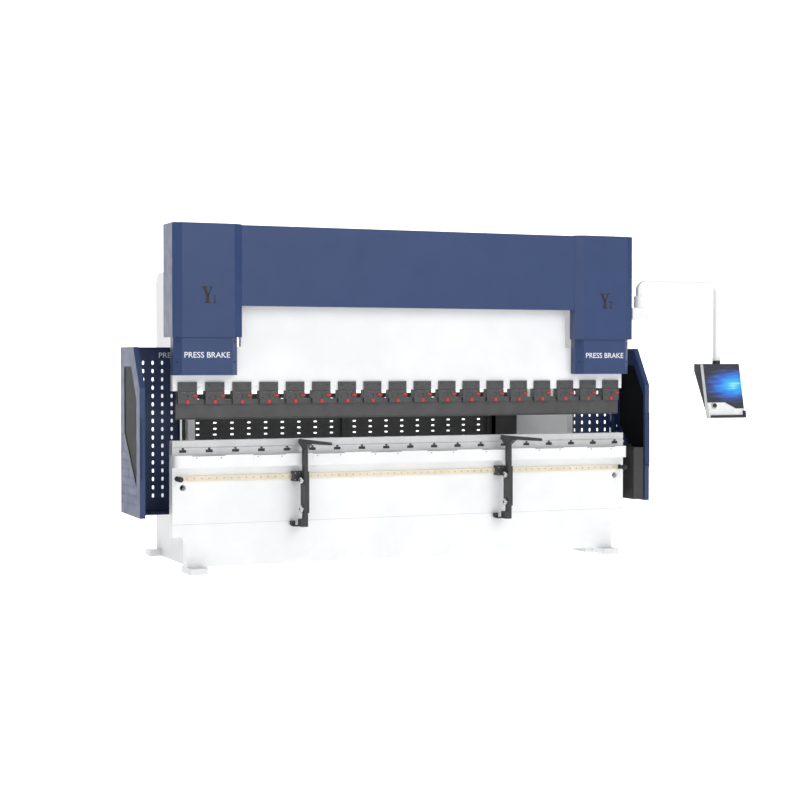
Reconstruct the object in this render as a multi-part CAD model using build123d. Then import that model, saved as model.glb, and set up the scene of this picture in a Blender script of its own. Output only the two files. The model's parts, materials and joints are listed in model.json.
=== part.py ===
"""Hydraulic press brake, 4 m table: every piece as its own solid, in millimetres.

X runs along the table, +Y points to the rear and +Z is up.  Sizes are measured from the
front face of the bed plate (Y = 0), the middle of the table (X = 0) and the floor (Z = 0).
On export everything moves so that the origin is the centre of the four anchor bolt holes.
"""
import os
from math import cos, radians, sin

from build123d import *

# ---- Driving dimensions ------------------------------------------------------------------
table_length = 4000
table_height = 1031
bed_thick = 90
bend_y = bed_thick / 2      # bending line, in the middle of the bed
daylight = 161              # punch tip to die top, ram up
stroke = 170                # ram travel, 9 mm into the vee
gap = 0.3                   # between flat faces that slide past each other
fit = 0.1                   # radial clearance of shafts and pins

table_half = table_length / 2
punch_tip_z = table_height + daylight

# Side frames and bed
die_height = 56
rail_height = 55
frame_overhang = 310        # table past the frame's inner face
frame_inner_x = table_half - frame_overhang
frame_thick = 60
frame_outer_x = frame_inner_x + frame_thick
frame_rear_y = 1410
throat_y = 442
frame_corner_r = 100
throat_corner_r = 60
foot_height = 48
front_foot = (140, -119, 133)     # width, front Y, rear Y
rear_foot = (98, frame_rear_y - 149, frame_rear_y)
anchor_x = frame_outer_x + 50
anchor_front_y = -60
anchor_rear_y = frame_rear_y - 74
anchor_mid_y = (anchor_front_y + anchor_rear_y) / 2
anchor_hole_d = 26
bed_low_half = table_half - 109
bed_step_z = 283
bed_corner_r = 28
rail_top_z = table_height - die_height
bed_top_z = rail_top_z - rail_height
throat_low_z = bed_top_z - 20
lift_hole_x = table_half - 84
lift_hole_d = 48

# Table rail, die and front band
slot_count = 19
slot_foot = (56, 22)
slot_neck = 20
slot_floor_z = bed_top_z + 18
slot_end_margin = 84
die_foot_height = 6
die_foot_inset = 8
vee_opening = 40
vee_depth = 22
band_depth = 87
band_low_z = bed_top_z - 97
band_sheet = 4
band_corner_r = 50
access_plate = (265, 46, 3)
access_count = 8
access_end_margin = 267.5
access_pitch = 2 * (table_half - access_end_margin) / (access_count - 1)
access_top_z = bed_top_z - 6

# Ram, clamps and punch
tool_height = 223                 # punch tip to the ram's lower edge
ram_thick = 60
ram_front_y = bend_y - ram_thick / 2
ram_rear_y = bend_y + ram_thick / 2
ram_half = table_half - 9
ram_low_z = punch_tip_z + tool_height
ram_shoulder_z = ram_low_z + 345
ram_groove_z = ram_low_z + 32
ram_groove = 3
throat_high_z = ram_low_z + 85
clamp_count = 18
clamp_end_margin = 115.05
clamp_pitch = 2 * (ram_half - clamp_end_margin) / (clamp_count - 1)
clamp_width = 152
clamp_top_z = ram_low_z + 69
clamp_plate_thick = 11
clamp_plate_width = clamp_width + 3
clamp_plate_low_z = ram_low_z - 102
clamp_seam = 2
clamp_screw = (52, 25, 11, 4)     # offset in X, drop from the top, diameter, depth
punch_half = table_half - 36
punch_top_z = ram_low_z - 66
punch_shoulder = 56
punch_blade = 32
punch_front_y = bend_y - punch_shoulder / 2
clamp_front_y = ram_front_y - 15
clamp_plate_front_y = punch_front_y - 20
clamp_lip_top_z = punch_top_z - 9
plate_screw = (9, 6, punch_top_z + 11.5)    # diameter, depth, height
plate_screw_offsets = (-49, 2, 48)
plate_dot = (5, 3, ram_low_z - 11)
plate_dot_offsets = (-42, -27, 35, 50)
lock_size = (40, 13, 8)           # X, Z, Y
lock_seat = 4
lock_z = ram_low_z - 37
lock_offset_x = 60
lock_travel = 12
button_size = (24, 26, 8)
button_z = ram_low_z - 85
button_travel = 4
button_edge_r = 1.5

# Cylinders and covers
cylinder_x = frame_inner_x + 56
cylinder_block = 250
cylinder_edge = 18
cylinder_low_z = ram_shoulder_z + 120
cylinder_top_z = cylinder_low_z + 520
frame_top_z = cylinder_top_z - 9
ram_top_z = cylinder_top_z - 100
ram_neck_half = cylinder_x - cylinder_block / 2 - 181
gland_height = 100
cap_height = 40
bore_d = 200
rod_d = 110
rod_clearance = 12                # between the rod and the side frame
cylinder_seat = 10                # side frame's step below the cylinder
piston_height = 110
manifold = (180, 150, 160)
solenoid = (38, 60, 45, 110)      # diameter, length, two heights over the cylinder
cover_sheet = 4
cover_half_front = 209
cover_half_side = 278
cover_front_y = bend_y - 181
cover_chamfer_y = cover_front_y + 34
cover_rear_y = bend_y + 109
cover_inner_rear_y = ram_front_y - 30
cover_low_z = cylinder_low_z - 49
cover_top_z = cylinder_top_z + 307
cover_hanger = 120
skirt_half_front = 201.5
skirt_half_side = 256
skirt_x = cylinder_x + 5
skirt_front_y = cover_front_y + 21
skirt_chamfer_y = skirt_front_y + 54
skirt_low_z = ram_low_z + 123
skirt_overlap = 55
beam_cover_low_z = cylinder_low_z + 196
beam_cover_top_z = cover_top_z - 5
beam_cover_lip = 70
beam_cover_tab = 60
beam_cover_tab_inset = 400
guide_rail = (50, 50)             # X, Y
guide_rail_y = ram_rear_y + 35
guide_rail_low_z = throat_high_z + 5
guide_rail_top_z = ram_shoulder_z + 60
shoe_length = 160
shoe_wall = 30
shoe_inset = 15

# Ties, tank and drive
tie_wall = 12
top_tie = (bend_y + 185, 100, 241)          # front Y, depth, height
rear_top_tie_y = 800
low_tie = (frame_rear_y - 160, 160, 200)
low_tie_z = 120
tank_half = 850
tank_height = 291
tank_wall = 6
tank_front_y = top_tie[0] + top_tie[1]
lid_thick = 8
filler = (90, 45, 140)            # diameter, height, distance from the tank's end
motor_d = 220
motor_length = 420
motor_y = tank_front_y + 170
motor_foot = (60, 160, 25)        # end margin, width, height under the motor
terminal_box = (130, 100, 40)     # end margin, width, height over the motor
pump_d = 130
pump_length = 180
pump_flange = (1.35, 40)          # diameter ratio, length
pump_foot = (60, 80)
pipe_d = 28
pipe_bend_r = 90
pipe_turn_x = cylinder_x - 496
distributor = (120, 70, 60)
distributor_y = rear_top_tie_y - 60

# Side guards
guard_sheet = 4
guard_y = 580
guard_height = 1310
guard_low_z = table_height - 584
guard_top_z = guard_low_z + guard_height
guard_inner_x = frame_outer_x + 35
guard_outer_x = guard_inner_x + 420
guard_floor_front_y = 200
guard_flange = 40
guard_tab = (150, 200, 50)        # from the bottom, from the top, height
guard_hole = (18, 32)
guard_hole_grid = (5, 17)
guard_hole_margin_x = (58, 50)    # inner, outer
guard_hole_margin_z = (121, 123.4)
door_inner_x = guard_outer_x + 9
door_thick = 43
door_sheet = 3
door_lip = 20
door_rear_y = guard_y + 8
door_front_y = -6
door_outline = ((door_rear_y, guard_low_z - 2), (door_rear_y, guard_top_z),
                (185, guard_top_z), (door_front_y, guard_top_z - 317),
                (door_front_y, guard_low_z - 7))
window_outline = ((door_rear_y - 122, guard_top_z - 157), (257, guard_top_z - 157),
                  (door_front_y + 107, guard_top_z - 409), (door_front_y + 107, guard_low_z + 233),
                  (door_rear_y - 122, guard_low_z + 641))
window_overlap = 12
window_thick = 4
door_hole = (9, 22)
door_hole_pitch = (61, 66.6)
door_hole_edge = 45
door_hole_columns = 8
handle_z = (guard_low_z + 300, guard_low_z + 740)
handle_d = 12
handle_reach = 30
handle_overrun = 15
handle_pad = (24, 3)
hinge_x = guard_outer_x + 31
hinge_y = guard_y + 32
knuckle_r = 14
knuckle_length = 60
pin_r = 6
pin_head = (3, 5, 4)              # wider by, thick, proud at the top
leaf_thick = 6
side_hinge_z = (guard_low_z + 113, guard_low_z + 603, guard_top_z - 217)

# Rear doors
rear_door_y = frame_rear_y + 118
rear_door_depth = 25
rear_door_sheet = 3
rear_post = (60, 90)
rear_post_x = frame_inner_x - 215
rear_post_low_z = 60
rear_door_inner_x = 8
rear_door_outer_x = rear_post_x - 13
rear_door_low_z = 150
rear_door_top_z = table_height + 329
rear_slot = (32, 14)
rear_slot_grid = (9, 20)
rear_slot_margin_x = (102, 110.4)           # inner, outer
rear_slot_margin_z = (194, 47)              # bottom, top
rear_hinge_x = rear_post_x + 3
rear_hinge_y = rear_door_y + 15
rear_hinge_z = (rear_door_low_z + 150, rear_door_low_z + 630, rear_door_top_z - 130)
rear_leaf_inset = 20
rear_pull = (50, 22, 140)         # from the door's edge, reach, length
rear_pull_z = rear_door_low_z + 700
rear_pull_overrun = 10

# Front rail and sheet supports
front_rail_half = table_half - 62
front_rail_z = table_height - 313
front_rail = (22, 39)             # depth, height
front_rail_groove = 5
rail_bolt_d = 12
rail_bolt_depth = 5
rail_bolt_pitch = 60
rail_end_margin = 20
lift_hole_z = front_rail_z - 52
end_stop_x = table_half - 38
end_stop_length = 110
end_stop_d = 42
end_stop_head = 45
end_stop_base = 14
support_x = {"left": -958, "right": 834}
post_width = 30
post_front_y = -152
post_rear_y = -94
post_low_z = table_height - 689
blade = (20, 22)                  # width, height at the tip
blade_front_y = -700
blade_rear_y = -4
blade_root_drop = 8
gusset_low_z = table_height - 76
gusset_reach_y = -251
carriage_left = 77
carriage_height = 79
carriage_low_z = front_rail_z - 20
carriage_front_y = -76
carriage_bed_gap = 2
hanger_low_z = carriage_low_z - 194
hanger_rear_y = -60
side_leg = 10
side_leg_low_z = carriage_low_z - 248
knob_z = {"upper": carriage_low_z + 8, "lower": carriage_low_z - 218}
knob_y = -123
knob_play = 0.5
stud_d = 12
stud_overrun = 6
knob_d = 52
knob_head = 30
post_travel = (-30, 20)
foot_left = 40
foot_height_z = 60
foot_rear_y = -68
pad_x = -69
pad_d = 44
pad_height = 32
pad_arm = (14, 20, 8)             # half width past the pad, overlap with the foot, thickness

# Backgauge
gauge_unit_x = frame_inner_x - 490
gauge_unit = (100, 860, 100)      # width, length, height
gauge_unit_edge = 6
gauge_unit_low_z = table_height - 331
saddle = (120, 160, 40)
saddle_y = 600
crossbar = (80, 40)
column = 40
gauge_beam_half = gauge_unit_x + 200
gauge_beam_y = 600
gauge_beam = (40, 75)
gauge_beam_low_z = gauge_unit_low_z + gauge_unit[2] + saddle[2] + crossbar[1] + 5
column_top_z = gauge_beam_low_z + 110
bracket_half = 50
bracket_height = 45
bracket_wall = 30
finger_x = 500
finger_base = (80, 60)
finger_front = 15                 # base in front of the beam
finger_apron = 45
finger_width = 40
finger_height = 25
finger_tip_y = 440
finger_notch = 30

# Junction box and linear scales
junction_width = 100
junction_y = (0, 450)
junction_reach = 2                # past the guard's rear sheet
junction_edge = 2
scale_bar = (12, 12)              # gap to the frame, thickness
scale_y = (460, 530)
scale_low_z = gauge_unit_low_z
scale_top_z = ram_shoulder_z + 20
scale_spacer = (475, 515, 30)     # front Y, rear Y, height
scale_spacer_z = (40, 120)
scale_head = (28, 35, 280)        # X, Y, length

# Operator arm and pendant
arm_x = frame_outer_x + 407
arm_y = 0
arm_length = 790
arm_tube = 50
arm_tube_r = 10
arm_bend_r = 60
hub_d = 95
hub_height = 96
mount_block = (160, 240, 101)
mount_low_z = frame_top_z - 385
mount_bar = (40, 62)
mount_flange = (16, 20, 100)      # thickness, reach in front, reach behind
mount_cylinder_gap = 6
arm_top_z = mount_low_z + 314
pivot_pin_d = 40
pendant_x = arm_x + arm_length
pendant_width = 370
pendant_top_z = arm_top_z - 697
arm_low_z = pendant_top_z + 29
pendant_height = 473
pendant_tilt = 12
pendant_depth = 155
pendant_back = 60                 # height of the wedge's rear face
bezel_depth = 50
housing_inset = (4, 50)           # from the sides, from the lower end
screen_drop = 400
screen_low_drop = 345
screen_seat = 8
screen_gap = 0.5
screen_step = (-9.45, 98.75)       # start and end of the sloping step, from the middle
estop_d = 36
estop_edge = 60
estop_drop = 110                  # up from the lower end
estop_height = 24
estop_neck = 7
estop_travel = 5
estop_seat = (4, 6)               # room round the button, depth
handle_bar = (12, 2, 22, 14)      # left margin, right margin, height, depth
handle_bracket = (20, 2, 62, 18)  # inner edge, outer edge, height, depth
collar_d = 70


# ---- Helpers -----------------------------------------------------------------------------
def block(x0, x1, y0, y1, z0, z1):
    """A box given by its limits along each axis."""
    centre = Pos((x0 + x1) / 2, (y0 + y1) / 2, (z0 + z1) / 2)
    return centre * Box(abs(x1 - x0), abs(y1 - y0), abs(z1 - z0))


def outline(points):
    """A flat face from its corner points."""
    return make_face(Polyline(*points, close=True))


def yz_plate(face, x0, x1):
    """A plate whose face is drawn as (Y, Z), from x0 to x1."""
    return extrude(Plane.YZ.offset(x0) * face, x1 - x0)


def xz_plate(face, y0, y1):
    """A plate whose face is drawn as (X, Z), from y0 to y1."""
    return extrude(Plane.XZ.offset(-y1) * face, y1 - y0)


def xy_plate(face, z0, z1):
    """A plate whose face is drawn as (X, Y), from z0 to z1."""
    return extrude(Plane.XY.offset(z0) * face, z1 - z0)


def rod_x(d, x0, x1, y, z):
    """A round bar along X."""
    return Pos((x0 + x1) / 2, y, z) * Rot(0, 90, 0) * Cylinder(d / 2, x1 - x0)


def rod_y(d, y0, y1, x, z):
    """A round bar along Y."""
    return Pos(x, (y0 + y1) / 2, z) * Rot(90, 0, 0) * Cylinder(d / 2, y1 - y0)


def rod_z(d, z0, z1, x, y):
    """A round bar along Z."""
    return Pos(x, y, (z0 + z1) / 2) * Cylinder(d / 2, z1 - z0)


def mirrored(shape):
    """The same piece on the other side of the machine."""
    return mirror(shape, about=Plane.YZ)


def both_sides(shape):
    """A piece and its mirror image, as two solids."""
    return [shape, mirrored(shape)]


def save(name, shapes):
    """Write one node, moved so that the anchor pattern's centre is the origin."""
    parts = shapes if isinstance(shapes, list) else [shapes]
    solids = [solid for part in parts for solid in part.solids()]
    moved = [Pos(0, -anchor_mid_y, 0) * solid for solid in solids]
    whole = moved[0] if len(moved) == 1 else Compound(children=moved)
    export_step(whole, f"parts/{name}.step")


# ---- Frame -------------------------------------------------------------------------------
def side_frame():
    """Right-hand C-plate with its two anchored feet."""
    seat_y = bend_y + cylinder_block / 2
    seat_z = cylinder_low_z - cylinder_seat
    rod_recess_y = bend_y + rod_d / 2 + rod_clearance
    rod_recess_z = ram_shoulder_z - stroke - rod_clearance
    face = outline([
        (bed_thick, 0), (frame_rear_y, 0), (frame_rear_y, frame_top_z),
        (seat_y, frame_top_z), (seat_y, seat_z), (rod_recess_y, seat_z),
        (rod_recess_y, rod_recess_z), (bed_thick, rod_recess_z), (bed_thick, throat_high_z),
        (throat_y, throat_high_z), (throat_y, throat_low_z), (bed_thick, throat_low_z)])
    plate = yz_plate(face, frame_inner_x, frame_outer_x)
    along = plate.edges().filter_by(Axis.X)
    back = along.group_by(Axis.Y)[-1]
    plate = fillet(back.sort_by(Axis.Z)[-1:], frame_corner_r)
    throat = [edge for edge in plate.edges().filter_by(Axis.X)
              if abs(edge.center().Y - throat_y) < 1]
    plate = fillet(throat, throat_corner_r)
    for width, y0, y1 in (front_foot, rear_foot):
        plate += block(frame_outer_x, frame_outer_x + width, y0, y1, 0, foot_height)
    for y in (anchor_front_y, anchor_rear_y):
        plate -= rod_z(anchor_hole_d, -1, foot_height + 1, anchor_x, y)
    return plate


def bed_plate():
    """Deep front plate under the table, narrower at its foot."""
    half = [(table_half, bed_top_z), (table_half, bed_step_z), (bed_low_half, bed_step_z),
            (bed_low_half, foot_height)]
    face = outline(half + [(-x, z) for x, z in reversed(half)])
    plate = xz_plate(face, 0, bed_thick)
    inner = [edge for edge in plate.edges().filter_by(Axis.Y)
             if abs(abs(edge.center().X) - bed_low_half) < 1
             and abs(edge.center().Z - bed_step_z) < 1]
    plate = fillet(inner, bed_corner_r)
    for side in (-1, 1):
        plate -= rod_y(lift_hole_d, -1, bed_thick + 1, side * lift_hole_x, lift_hole_z)
    return plate


def box_beam(y0, depth, z0, height):
    """Square tube between the two side frames."""
    outer = block(-frame_inner_x, frame_inner_x, y0, y0 + depth, z0, z0 + height)
    inner = block(-frame_inner_x - 1, frame_inner_x + 1, y0 + tie_wall, y0 + depth - tie_wall,
                  z0 + tie_wall, z0 + height - tie_wall)
    return outer - inner


def tie_beams():
    """Two top beams that hold the tank, and a low one at the rear."""
    front_y, depth, height = top_tie
    top_z = frame_top_z - height
    return [box_beam(front_y, depth, top_z, height),
            box_beam(rear_top_tie_y, depth, top_z, height),
            box_beam(low_tie[0], low_tie[1], low_tie_z, low_tie[2])]


# ---- Table -------------------------------------------------------------------------------
def table_rail():
    """Clamping rail with inverted-T slots through it from front to back."""
    rail = block(-table_half, table_half, 0, bed_thick, bed_top_z, rail_top_z)
    pitch = (table_length - 2 * slot_end_margin) / (slot_count - 1)
    foot_w, foot_h = slot_foot
    slots = []
    for index in range(slot_count):
        x = -table_half + slot_end_margin + index * pitch
        slots.append(block(x - foot_w / 2, x + foot_w / 2, -1, bed_thick + 1,
                           slot_floor_z, slot_floor_z + foot_h))
        slots.append(block(x - slot_neck / 2, x + slot_neck / 2, -1, bed_thick + 1,
                           slot_floor_z + foot_h, rail_top_z + 1))
    return rail - slots


def lower_die():
    """Full-length die with one vee, on a narrower foot."""
    foot_top = rail_top_z + die_foot_height
    face = outline([
        (die_foot_inset, rail_top_z), (bed_thick - die_foot_inset, rail_top_z),
        (bed_thick - die_foot_inset, foot_top), (bed_thick, foot_top), (bed_thick, table_height),
        (bend_y + vee_opening / 2, table_height), (bend_y, table_height - vee_depth),
        (bend_y - vee_opening / 2, table_height), (0, table_height), (0, foot_top),
        (die_foot_inset, foot_top)])
    return yz_plate(face, -table_half, table_half)


def front_band():
    """Sheet-metal band along the front, open at the back."""
    outer = block(-table_half, table_half, -band_depth, 0, band_low_z, bed_top_z)
    front = outer.edges().filter_by(Axis.Z).group_by(Axis.Y)[0]
    outer = fillet(front, band_corner_r)
    inner = block(-table_half + band_sheet, table_half - band_sheet, -band_depth + band_sheet, 1,
                  band_low_z + band_sheet, bed_top_z - band_sheet)
    front = inner.edges().filter_by(Axis.Z).group_by(Axis.Y)[0]
    inner = fillet(front, band_corner_r - band_sheet)
    return outer - inner


def access_plates():
    """Thin screwed-on plates along the top of the band's front."""
    width, height, thick = access_plate
    plates = []
    for index in range(access_count):
        x = (index - (access_count - 1) / 2) * access_pitch
        plates.append(block(x - width / 2, x + width / 2, -band_depth - thick, -band_depth,
                            access_top_z - height, access_top_z))
    return plates


# ---- Ram ---------------------------------------------------------------------------------
def ram_plate():
    """Upper beam: full width below, narrower between the cylinders."""
    half = [(ram_half, ram_low_z), (ram_half, ram_shoulder_z), (ram_neck_half, ram_shoulder_z),
            (ram_neck_half, ram_top_z)]
    face = outline(half + [(-x, z) for x, z in reversed(half)])
    plate = xz_plate(face, ram_front_y, ram_front_y + ram_thick)
    groove = block(-ram_half - 1, ram_half + 1, ram_front_y - 1, ram_front_y + ram_groove,
                   ram_groove_z - ram_groove / 2, ram_groove_z + ram_groove / 2)
    return plate - groove


def clamp_positions():
    """Middle of each tool clamp along X."""
    return [(index - (clamp_count - 1) / 2) * clamp_pitch for index in range(clamp_count)]


def clamp_body(x):
    """Holder under the ram with its fixing plate on the ram's front."""
    half = clamp_width / 2
    plate_rear = clamp_plate_front_y + clamp_plate_thick
    body = block(x - half, x + half, clamp_front_y, ram_front_y, ram_low_z, clamp_top_z)
    body += block(x - half, x + half, plate_rear, ram_rear_y, punch_top_z, ram_low_z)
    offset_x, drop, screw_d, depth = clamp_screw
    screws = []
    for side in (-1, 1):
        screws.append(rod_y(screw_d, clamp_front_y - 1, clamp_front_y + depth,
                            x + side * offset_x, clamp_top_z - drop))
    return body - screws


def clamp_plate(x):
    """Front clamping plate with its lip on the punch and seats for the lock and button."""
    half = clamp_plate_width / 2
    front = clamp_plate_front_y
    rear = front + clamp_plate_thick
    top = ram_low_z - clamp_seam
    plate = block(x - half, x + half, front, rear, clamp_plate_low_z, top)
    plate += block(x - half, x + half, rear, punch_front_y, clamp_plate_low_z, clamp_lip_top_z)
    button_w, button_h, _ = button_size
    cuts = [block(x - button_w / 2 - gap, x + button_w / 2 + gap, front - 1, rear - 1,
                  button_z - button_h / 2 - gap, button_z + button_h / 2 + gap)]
    lock_left = x + lock_offset_x - lock_size[0] / 2 - lock_travel - gap
    cuts.append(block(lock_left, x + half + 1, front - 1, front + lock_seat,
                      lock_z - lock_size[1] / 2 - gap, lock_z + lock_size[1] / 2 + gap))
    for offsets, (hole_d, depth, z) in ((plate_screw_offsets, plate_screw),
                                        (plate_dot_offsets, plate_dot)):
        cuts += [rod_y(hole_d, front - 1, front + depth, x + offset, z) for offset in offsets]
    return plate - cuts


def clamp_lock(x):
    """Slider that locks one clamp."""
    width, height, depth = lock_size
    middle = x + lock_offset_x
    rear = clamp_plate_front_y + lock_seat - gap
    return block(middle - width / 2, middle + width / 2, rear - depth, rear,
                 lock_z - height / 2, lock_z + height / 2)


def clamp_button(x):
    """Push button that frees one clamp."""
    width, height, depth = button_size
    rear = clamp_plate_front_y + depth - button_travel - 1
    body = block(x - width / 2, x + width / 2, rear - depth, rear,
                 button_z - height / 2, button_z + height / 2)
    return fillet(body.edges().group_by(Axis.Y)[0], button_edge_r)


def punch():
    """Straight punch with a shoulder in the clamps and a tip on the bending line."""
    shoulder = punch_shoulder / 2
    half = punch_blade / 2
    shoulder_low = clamp_plate_low_z
    blade_low = punch_tip_z + half
    face = outline([
        (bend_y - shoulder, punch_top_z), (bend_y - shoulder, shoulder_low),
        (bend_y - half, shoulder_low), (bend_y - half, blade_low), (bend_y, punch_tip_z),
        (bend_y + half, blade_low), (bend_y + half, shoulder_low),
        (bend_y + shoulder, shoulder_low), (bend_y + shoulder, punch_top_z)])
    return yz_plate(face, -punch_half, punch_half)


def piston_top_z():
    """Top face of the piston with the ram up."""
    return cylinder_top_z - cap_height - 20


def piston_rod():
    """Right-hand rod and piston, standing on the ram's shoulder."""
    top = piston_top_z()
    rod = rod_z(rod_d, ram_shoulder_z, top, cylinder_x, bend_y)
    return rod + rod_z(bore_d - 2 * fit, top - piston_height, top, cylinder_x, bend_y)


def cover_face(x_mid, half_side, half_front, rear_y, chamfer_y, front_y):
    """Plan of a cover with its two front corners cut off."""
    return outline([
        (x_mid - half_side, rear_y), (x_mid - half_side, chamfer_y),
        (x_mid - half_front, front_y), (x_mid + half_front, front_y),
        (x_mid + half_side, chamfer_y), (x_mid + half_side, rear_y)])


def ram_cover():
    """Right-hand skirt on the ram's end, sliding up inside the cylinder cover."""
    top = cover_low_z + stroke + skirt_overlap
    sheet = cover_sheet
    outer = xy_plate(cover_face(skirt_x, skirt_half_side, skirt_half_front, ram_front_y,
                                skirt_chamfer_y, skirt_front_y), skirt_low_z, top)
    inner = xy_plate(cover_face(skirt_x, skirt_half_side - sheet,
                                skirt_half_front - sheet * 0.4, ram_front_y + 1,
                                skirt_chamfer_y + sheet * 0.6, skirt_front_y + sheet),
                     skirt_low_z + sheet, top + 1)
    return outer - inner


def ram_guide_shoe():
    """Right-hand bronze-lined shoe behind the ram, round the guide rail."""
    rail_x, rail_y = guide_rail
    x0 = frame_inner_x - rail_x - shoe_wall
    y1 = guide_rail_y + rail_y + shoe_wall
    z1 = ram_shoulder_z
    shoe = block(x0, frame_inner_x - shoe_inset, ram_rear_y, y1, z1 - shoe_length, z1)
    slot = block(frame_inner_x - rail_x - gap, frame_inner_x, guide_rail_y - gap,
                 guide_rail_y + rail_y + gap, z1 - shoe_length - 1, z1 + 1)
    return shoe - slot


def ram_guide_rail():
    """Right-hand square rail on the frame's inner face."""
    rail_x, rail_y = guide_rail
    return block(frame_inner_x - rail_x, frame_inner_x, guide_rail_y, guide_rail_y + rail_y,
                 guide_rail_low_z, guide_rail_top_z)


# ---- Cylinders and hydraulics ------------------------------------------------------------
def cylinder():
    """Right-hand cylinder block with its bore and rod gland."""
    half = cylinder_block / 2
    body = block(cylinder_x - half, cylinder_x + half, bend_y - half, bend_y + half,
                 cylinder_low_z, cylinder_top_z)
    body = chamfer(body.edges().filter_by(Axis.Z), cylinder_edge)
    body -= rod_z(bore_d, cylinder_low_z + gland_height, cylinder_top_z - cap_height,
                  cylinder_x, bend_y)
    body -= rod_z(rod_d + 2 * fit, cylinder_low_z - 1, cylinder_low_z + gland_height + 1,
                  cylinder_x, bend_y)
    return body


def valve_manifold():
    """Right-hand valve block on top of the cylinder, with two solenoid valves."""
    width, depth, height = manifold
    top = cylinder_top_z + height
    body = block(cylinder_x - width / 2, cylinder_x + width / 2, bend_y - depth / 2,
                 bend_y + depth / 2, cylinder_top_z, top)
    solenoid_d, length, *heights = solenoid
    for rise in heights:
        body += rod_y(solenoid_d, bend_y + depth / 2 - 5, bend_y + depth / 2 + length, cylinder_x,
                      cylinder_top_z + rise)
    return body


def cylinder_cover():
    """Right-hand cover round the cylinder, hung from the valve block."""
    sheet = cover_sheet
    outer = xy_plate(cover_face(cylinder_x, cover_half_side, cover_half_front, cover_rear_y,
                                cover_chamfer_y, cover_front_y), cover_low_z, cover_top_z)
    inner = xy_plate(cover_face(cylinder_x, cover_half_side - sheet,
                                cover_half_front - sheet * 0.2, cover_rear_y + 1,
                                cover_chamfer_y + sheet * 0.6, cover_front_y + sheet),
                     cover_low_z - 1, cover_top_z - sheet)
    shell = outer - inner
    inner_x = cylinder_x - cover_half_side
    shell -= block(inner_x - 1, inner_x + sheet + 1, cover_inner_rear_y, cover_rear_y + 1,
                   cover_low_z - 1, cover_top_z - sheet)
    hanger_z = cylinder_top_z + manifold[2]
    shell += block(cylinder_x - cover_hanger / 2, cylinder_x + cover_hanger / 2,
                   cover_front_y + 1, bend_y, hanger_z, hanger_z + sheet)
    return shell


def beam_cover():
    """Long front cover between the cylinder covers, carried by the front top beam."""
    half = cylinder_x - cover_half_side
    sheet = cover_sheet
    front = cover_chamfer_y
    cover = block(-half, half, front, front + sheet, beam_cover_low_z, beam_cover_top_z)
    cover += block(-half, half, front, front + beam_cover_lip, beam_cover_low_z,
                   beam_cover_low_z + sheet)
    cover += block(-half, half, front, top_tie[0] + sheet, beam_cover_top_z - sheet,
                   beam_cover_top_z)
    for side in (-1, 0, 1):
        x = side * (half - beam_cover_tab_inset)
        cover += block(x - beam_cover_tab / 2, x + beam_cover_tab / 2, top_tie[0],
                       top_tie[0] + sheet, frame_top_z, beam_cover_top_z)
    return cover


def oil_tank():
    """Open tank between the top beams."""
    z0 = frame_top_z - tank_height
    outer = block(-tank_half, tank_half, tank_front_y, rear_top_tie_y, z0, frame_top_z)
    inner = block(-tank_half + tank_wall, tank_half - tank_wall, tank_front_y + tank_wall,
                  rear_top_tie_y - tank_wall, z0 + tank_wall, frame_top_z + 1)
    return outer - inner


def pump_motor():
    """Tank lid, motor on its feet, pump and distributor block."""
    lid_top = frame_top_z + lid_thick
    lid = block(-tank_half, tank_half, tank_front_y, rear_top_tie_y, frame_top_z, lid_top)
    filler_d, filler_height, filler_inset = filler
    lid += rod_z(filler_d, lid_top, lid_top + filler_height, -tank_half + filler_inset,
                 distributor_y - pipe_bend_r)
    foot_margin, foot_width, foot_rise = motor_foot
    axis_z = lid_top + motor_d / 2 + foot_rise
    rear_x = -motor_length
    motor = rod_x(motor_d, rear_x, 0, motor_y, axis_z)
    motor += block(rear_x + foot_margin, -foot_margin, motor_y - foot_width / 2,
                   motor_y + foot_width / 2, lid_top, axis_z - motor_d / 3)
    box_margin, box_width, box_rise = terminal_box
    motor += block(rear_x + box_margin, -box_margin, motor_y - box_width / 2,
                   motor_y + box_width / 2, axis_z, axis_z + motor_d / 2 + box_rise)
    flange_ratio, flange_length = pump_flange
    pump = rod_x(pump_d, 0, pump_length, motor_y, axis_z)
    pump += rod_x(pump_d * flange_ratio, 0, flange_length, motor_y, axis_z)
    foot_length, foot_width = pump_foot
    pump += block(pump_length - foot_length, pump_length, motor_y - foot_width / 2,
                  motor_y + foot_width / 2, lid_top, axis_z)
    width, depth, height = distributor
    splitter = block(-width / 2, width / 2, distributor_y - depth / 2, distributor_y + depth / 2,
                     lid_top, lid_top + height)
    return [lid, motor + pump, splitter]


def hydraulic_pipes():
    """Steel pipes from the distributor to the two valve blocks and from the pump."""
    z = frame_top_z + lid_thick + distributor[2] / 2
    start = Vector(distributor[0] / 2, distributor_y, z)
    end = Vector(cylinder_x - manifold[0] / 2, bend_y, z)
    path = FilletPolyline(start, (pipe_turn_x, distributor_y, z), (pipe_turn_x, bend_y, z), end,
                          radius=pipe_bend_r)
    pipe = sweep(Plane(start, z_dir=(1, 0, 0)) * Circle(pipe_d / 2), path=path)
    feed_x = pump_length - pump_foot[0] / 2
    feed = rod_y(pipe_d - 2, motor_y + pump_foot[1] / 2, distributor_y, feed_x, z)
    feed += rod_x(pipe_d, distributor[0] / 2, feed_x + pipe_d / 2, distributor_y, z)
    return both_sides(pipe) + [feed]


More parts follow.
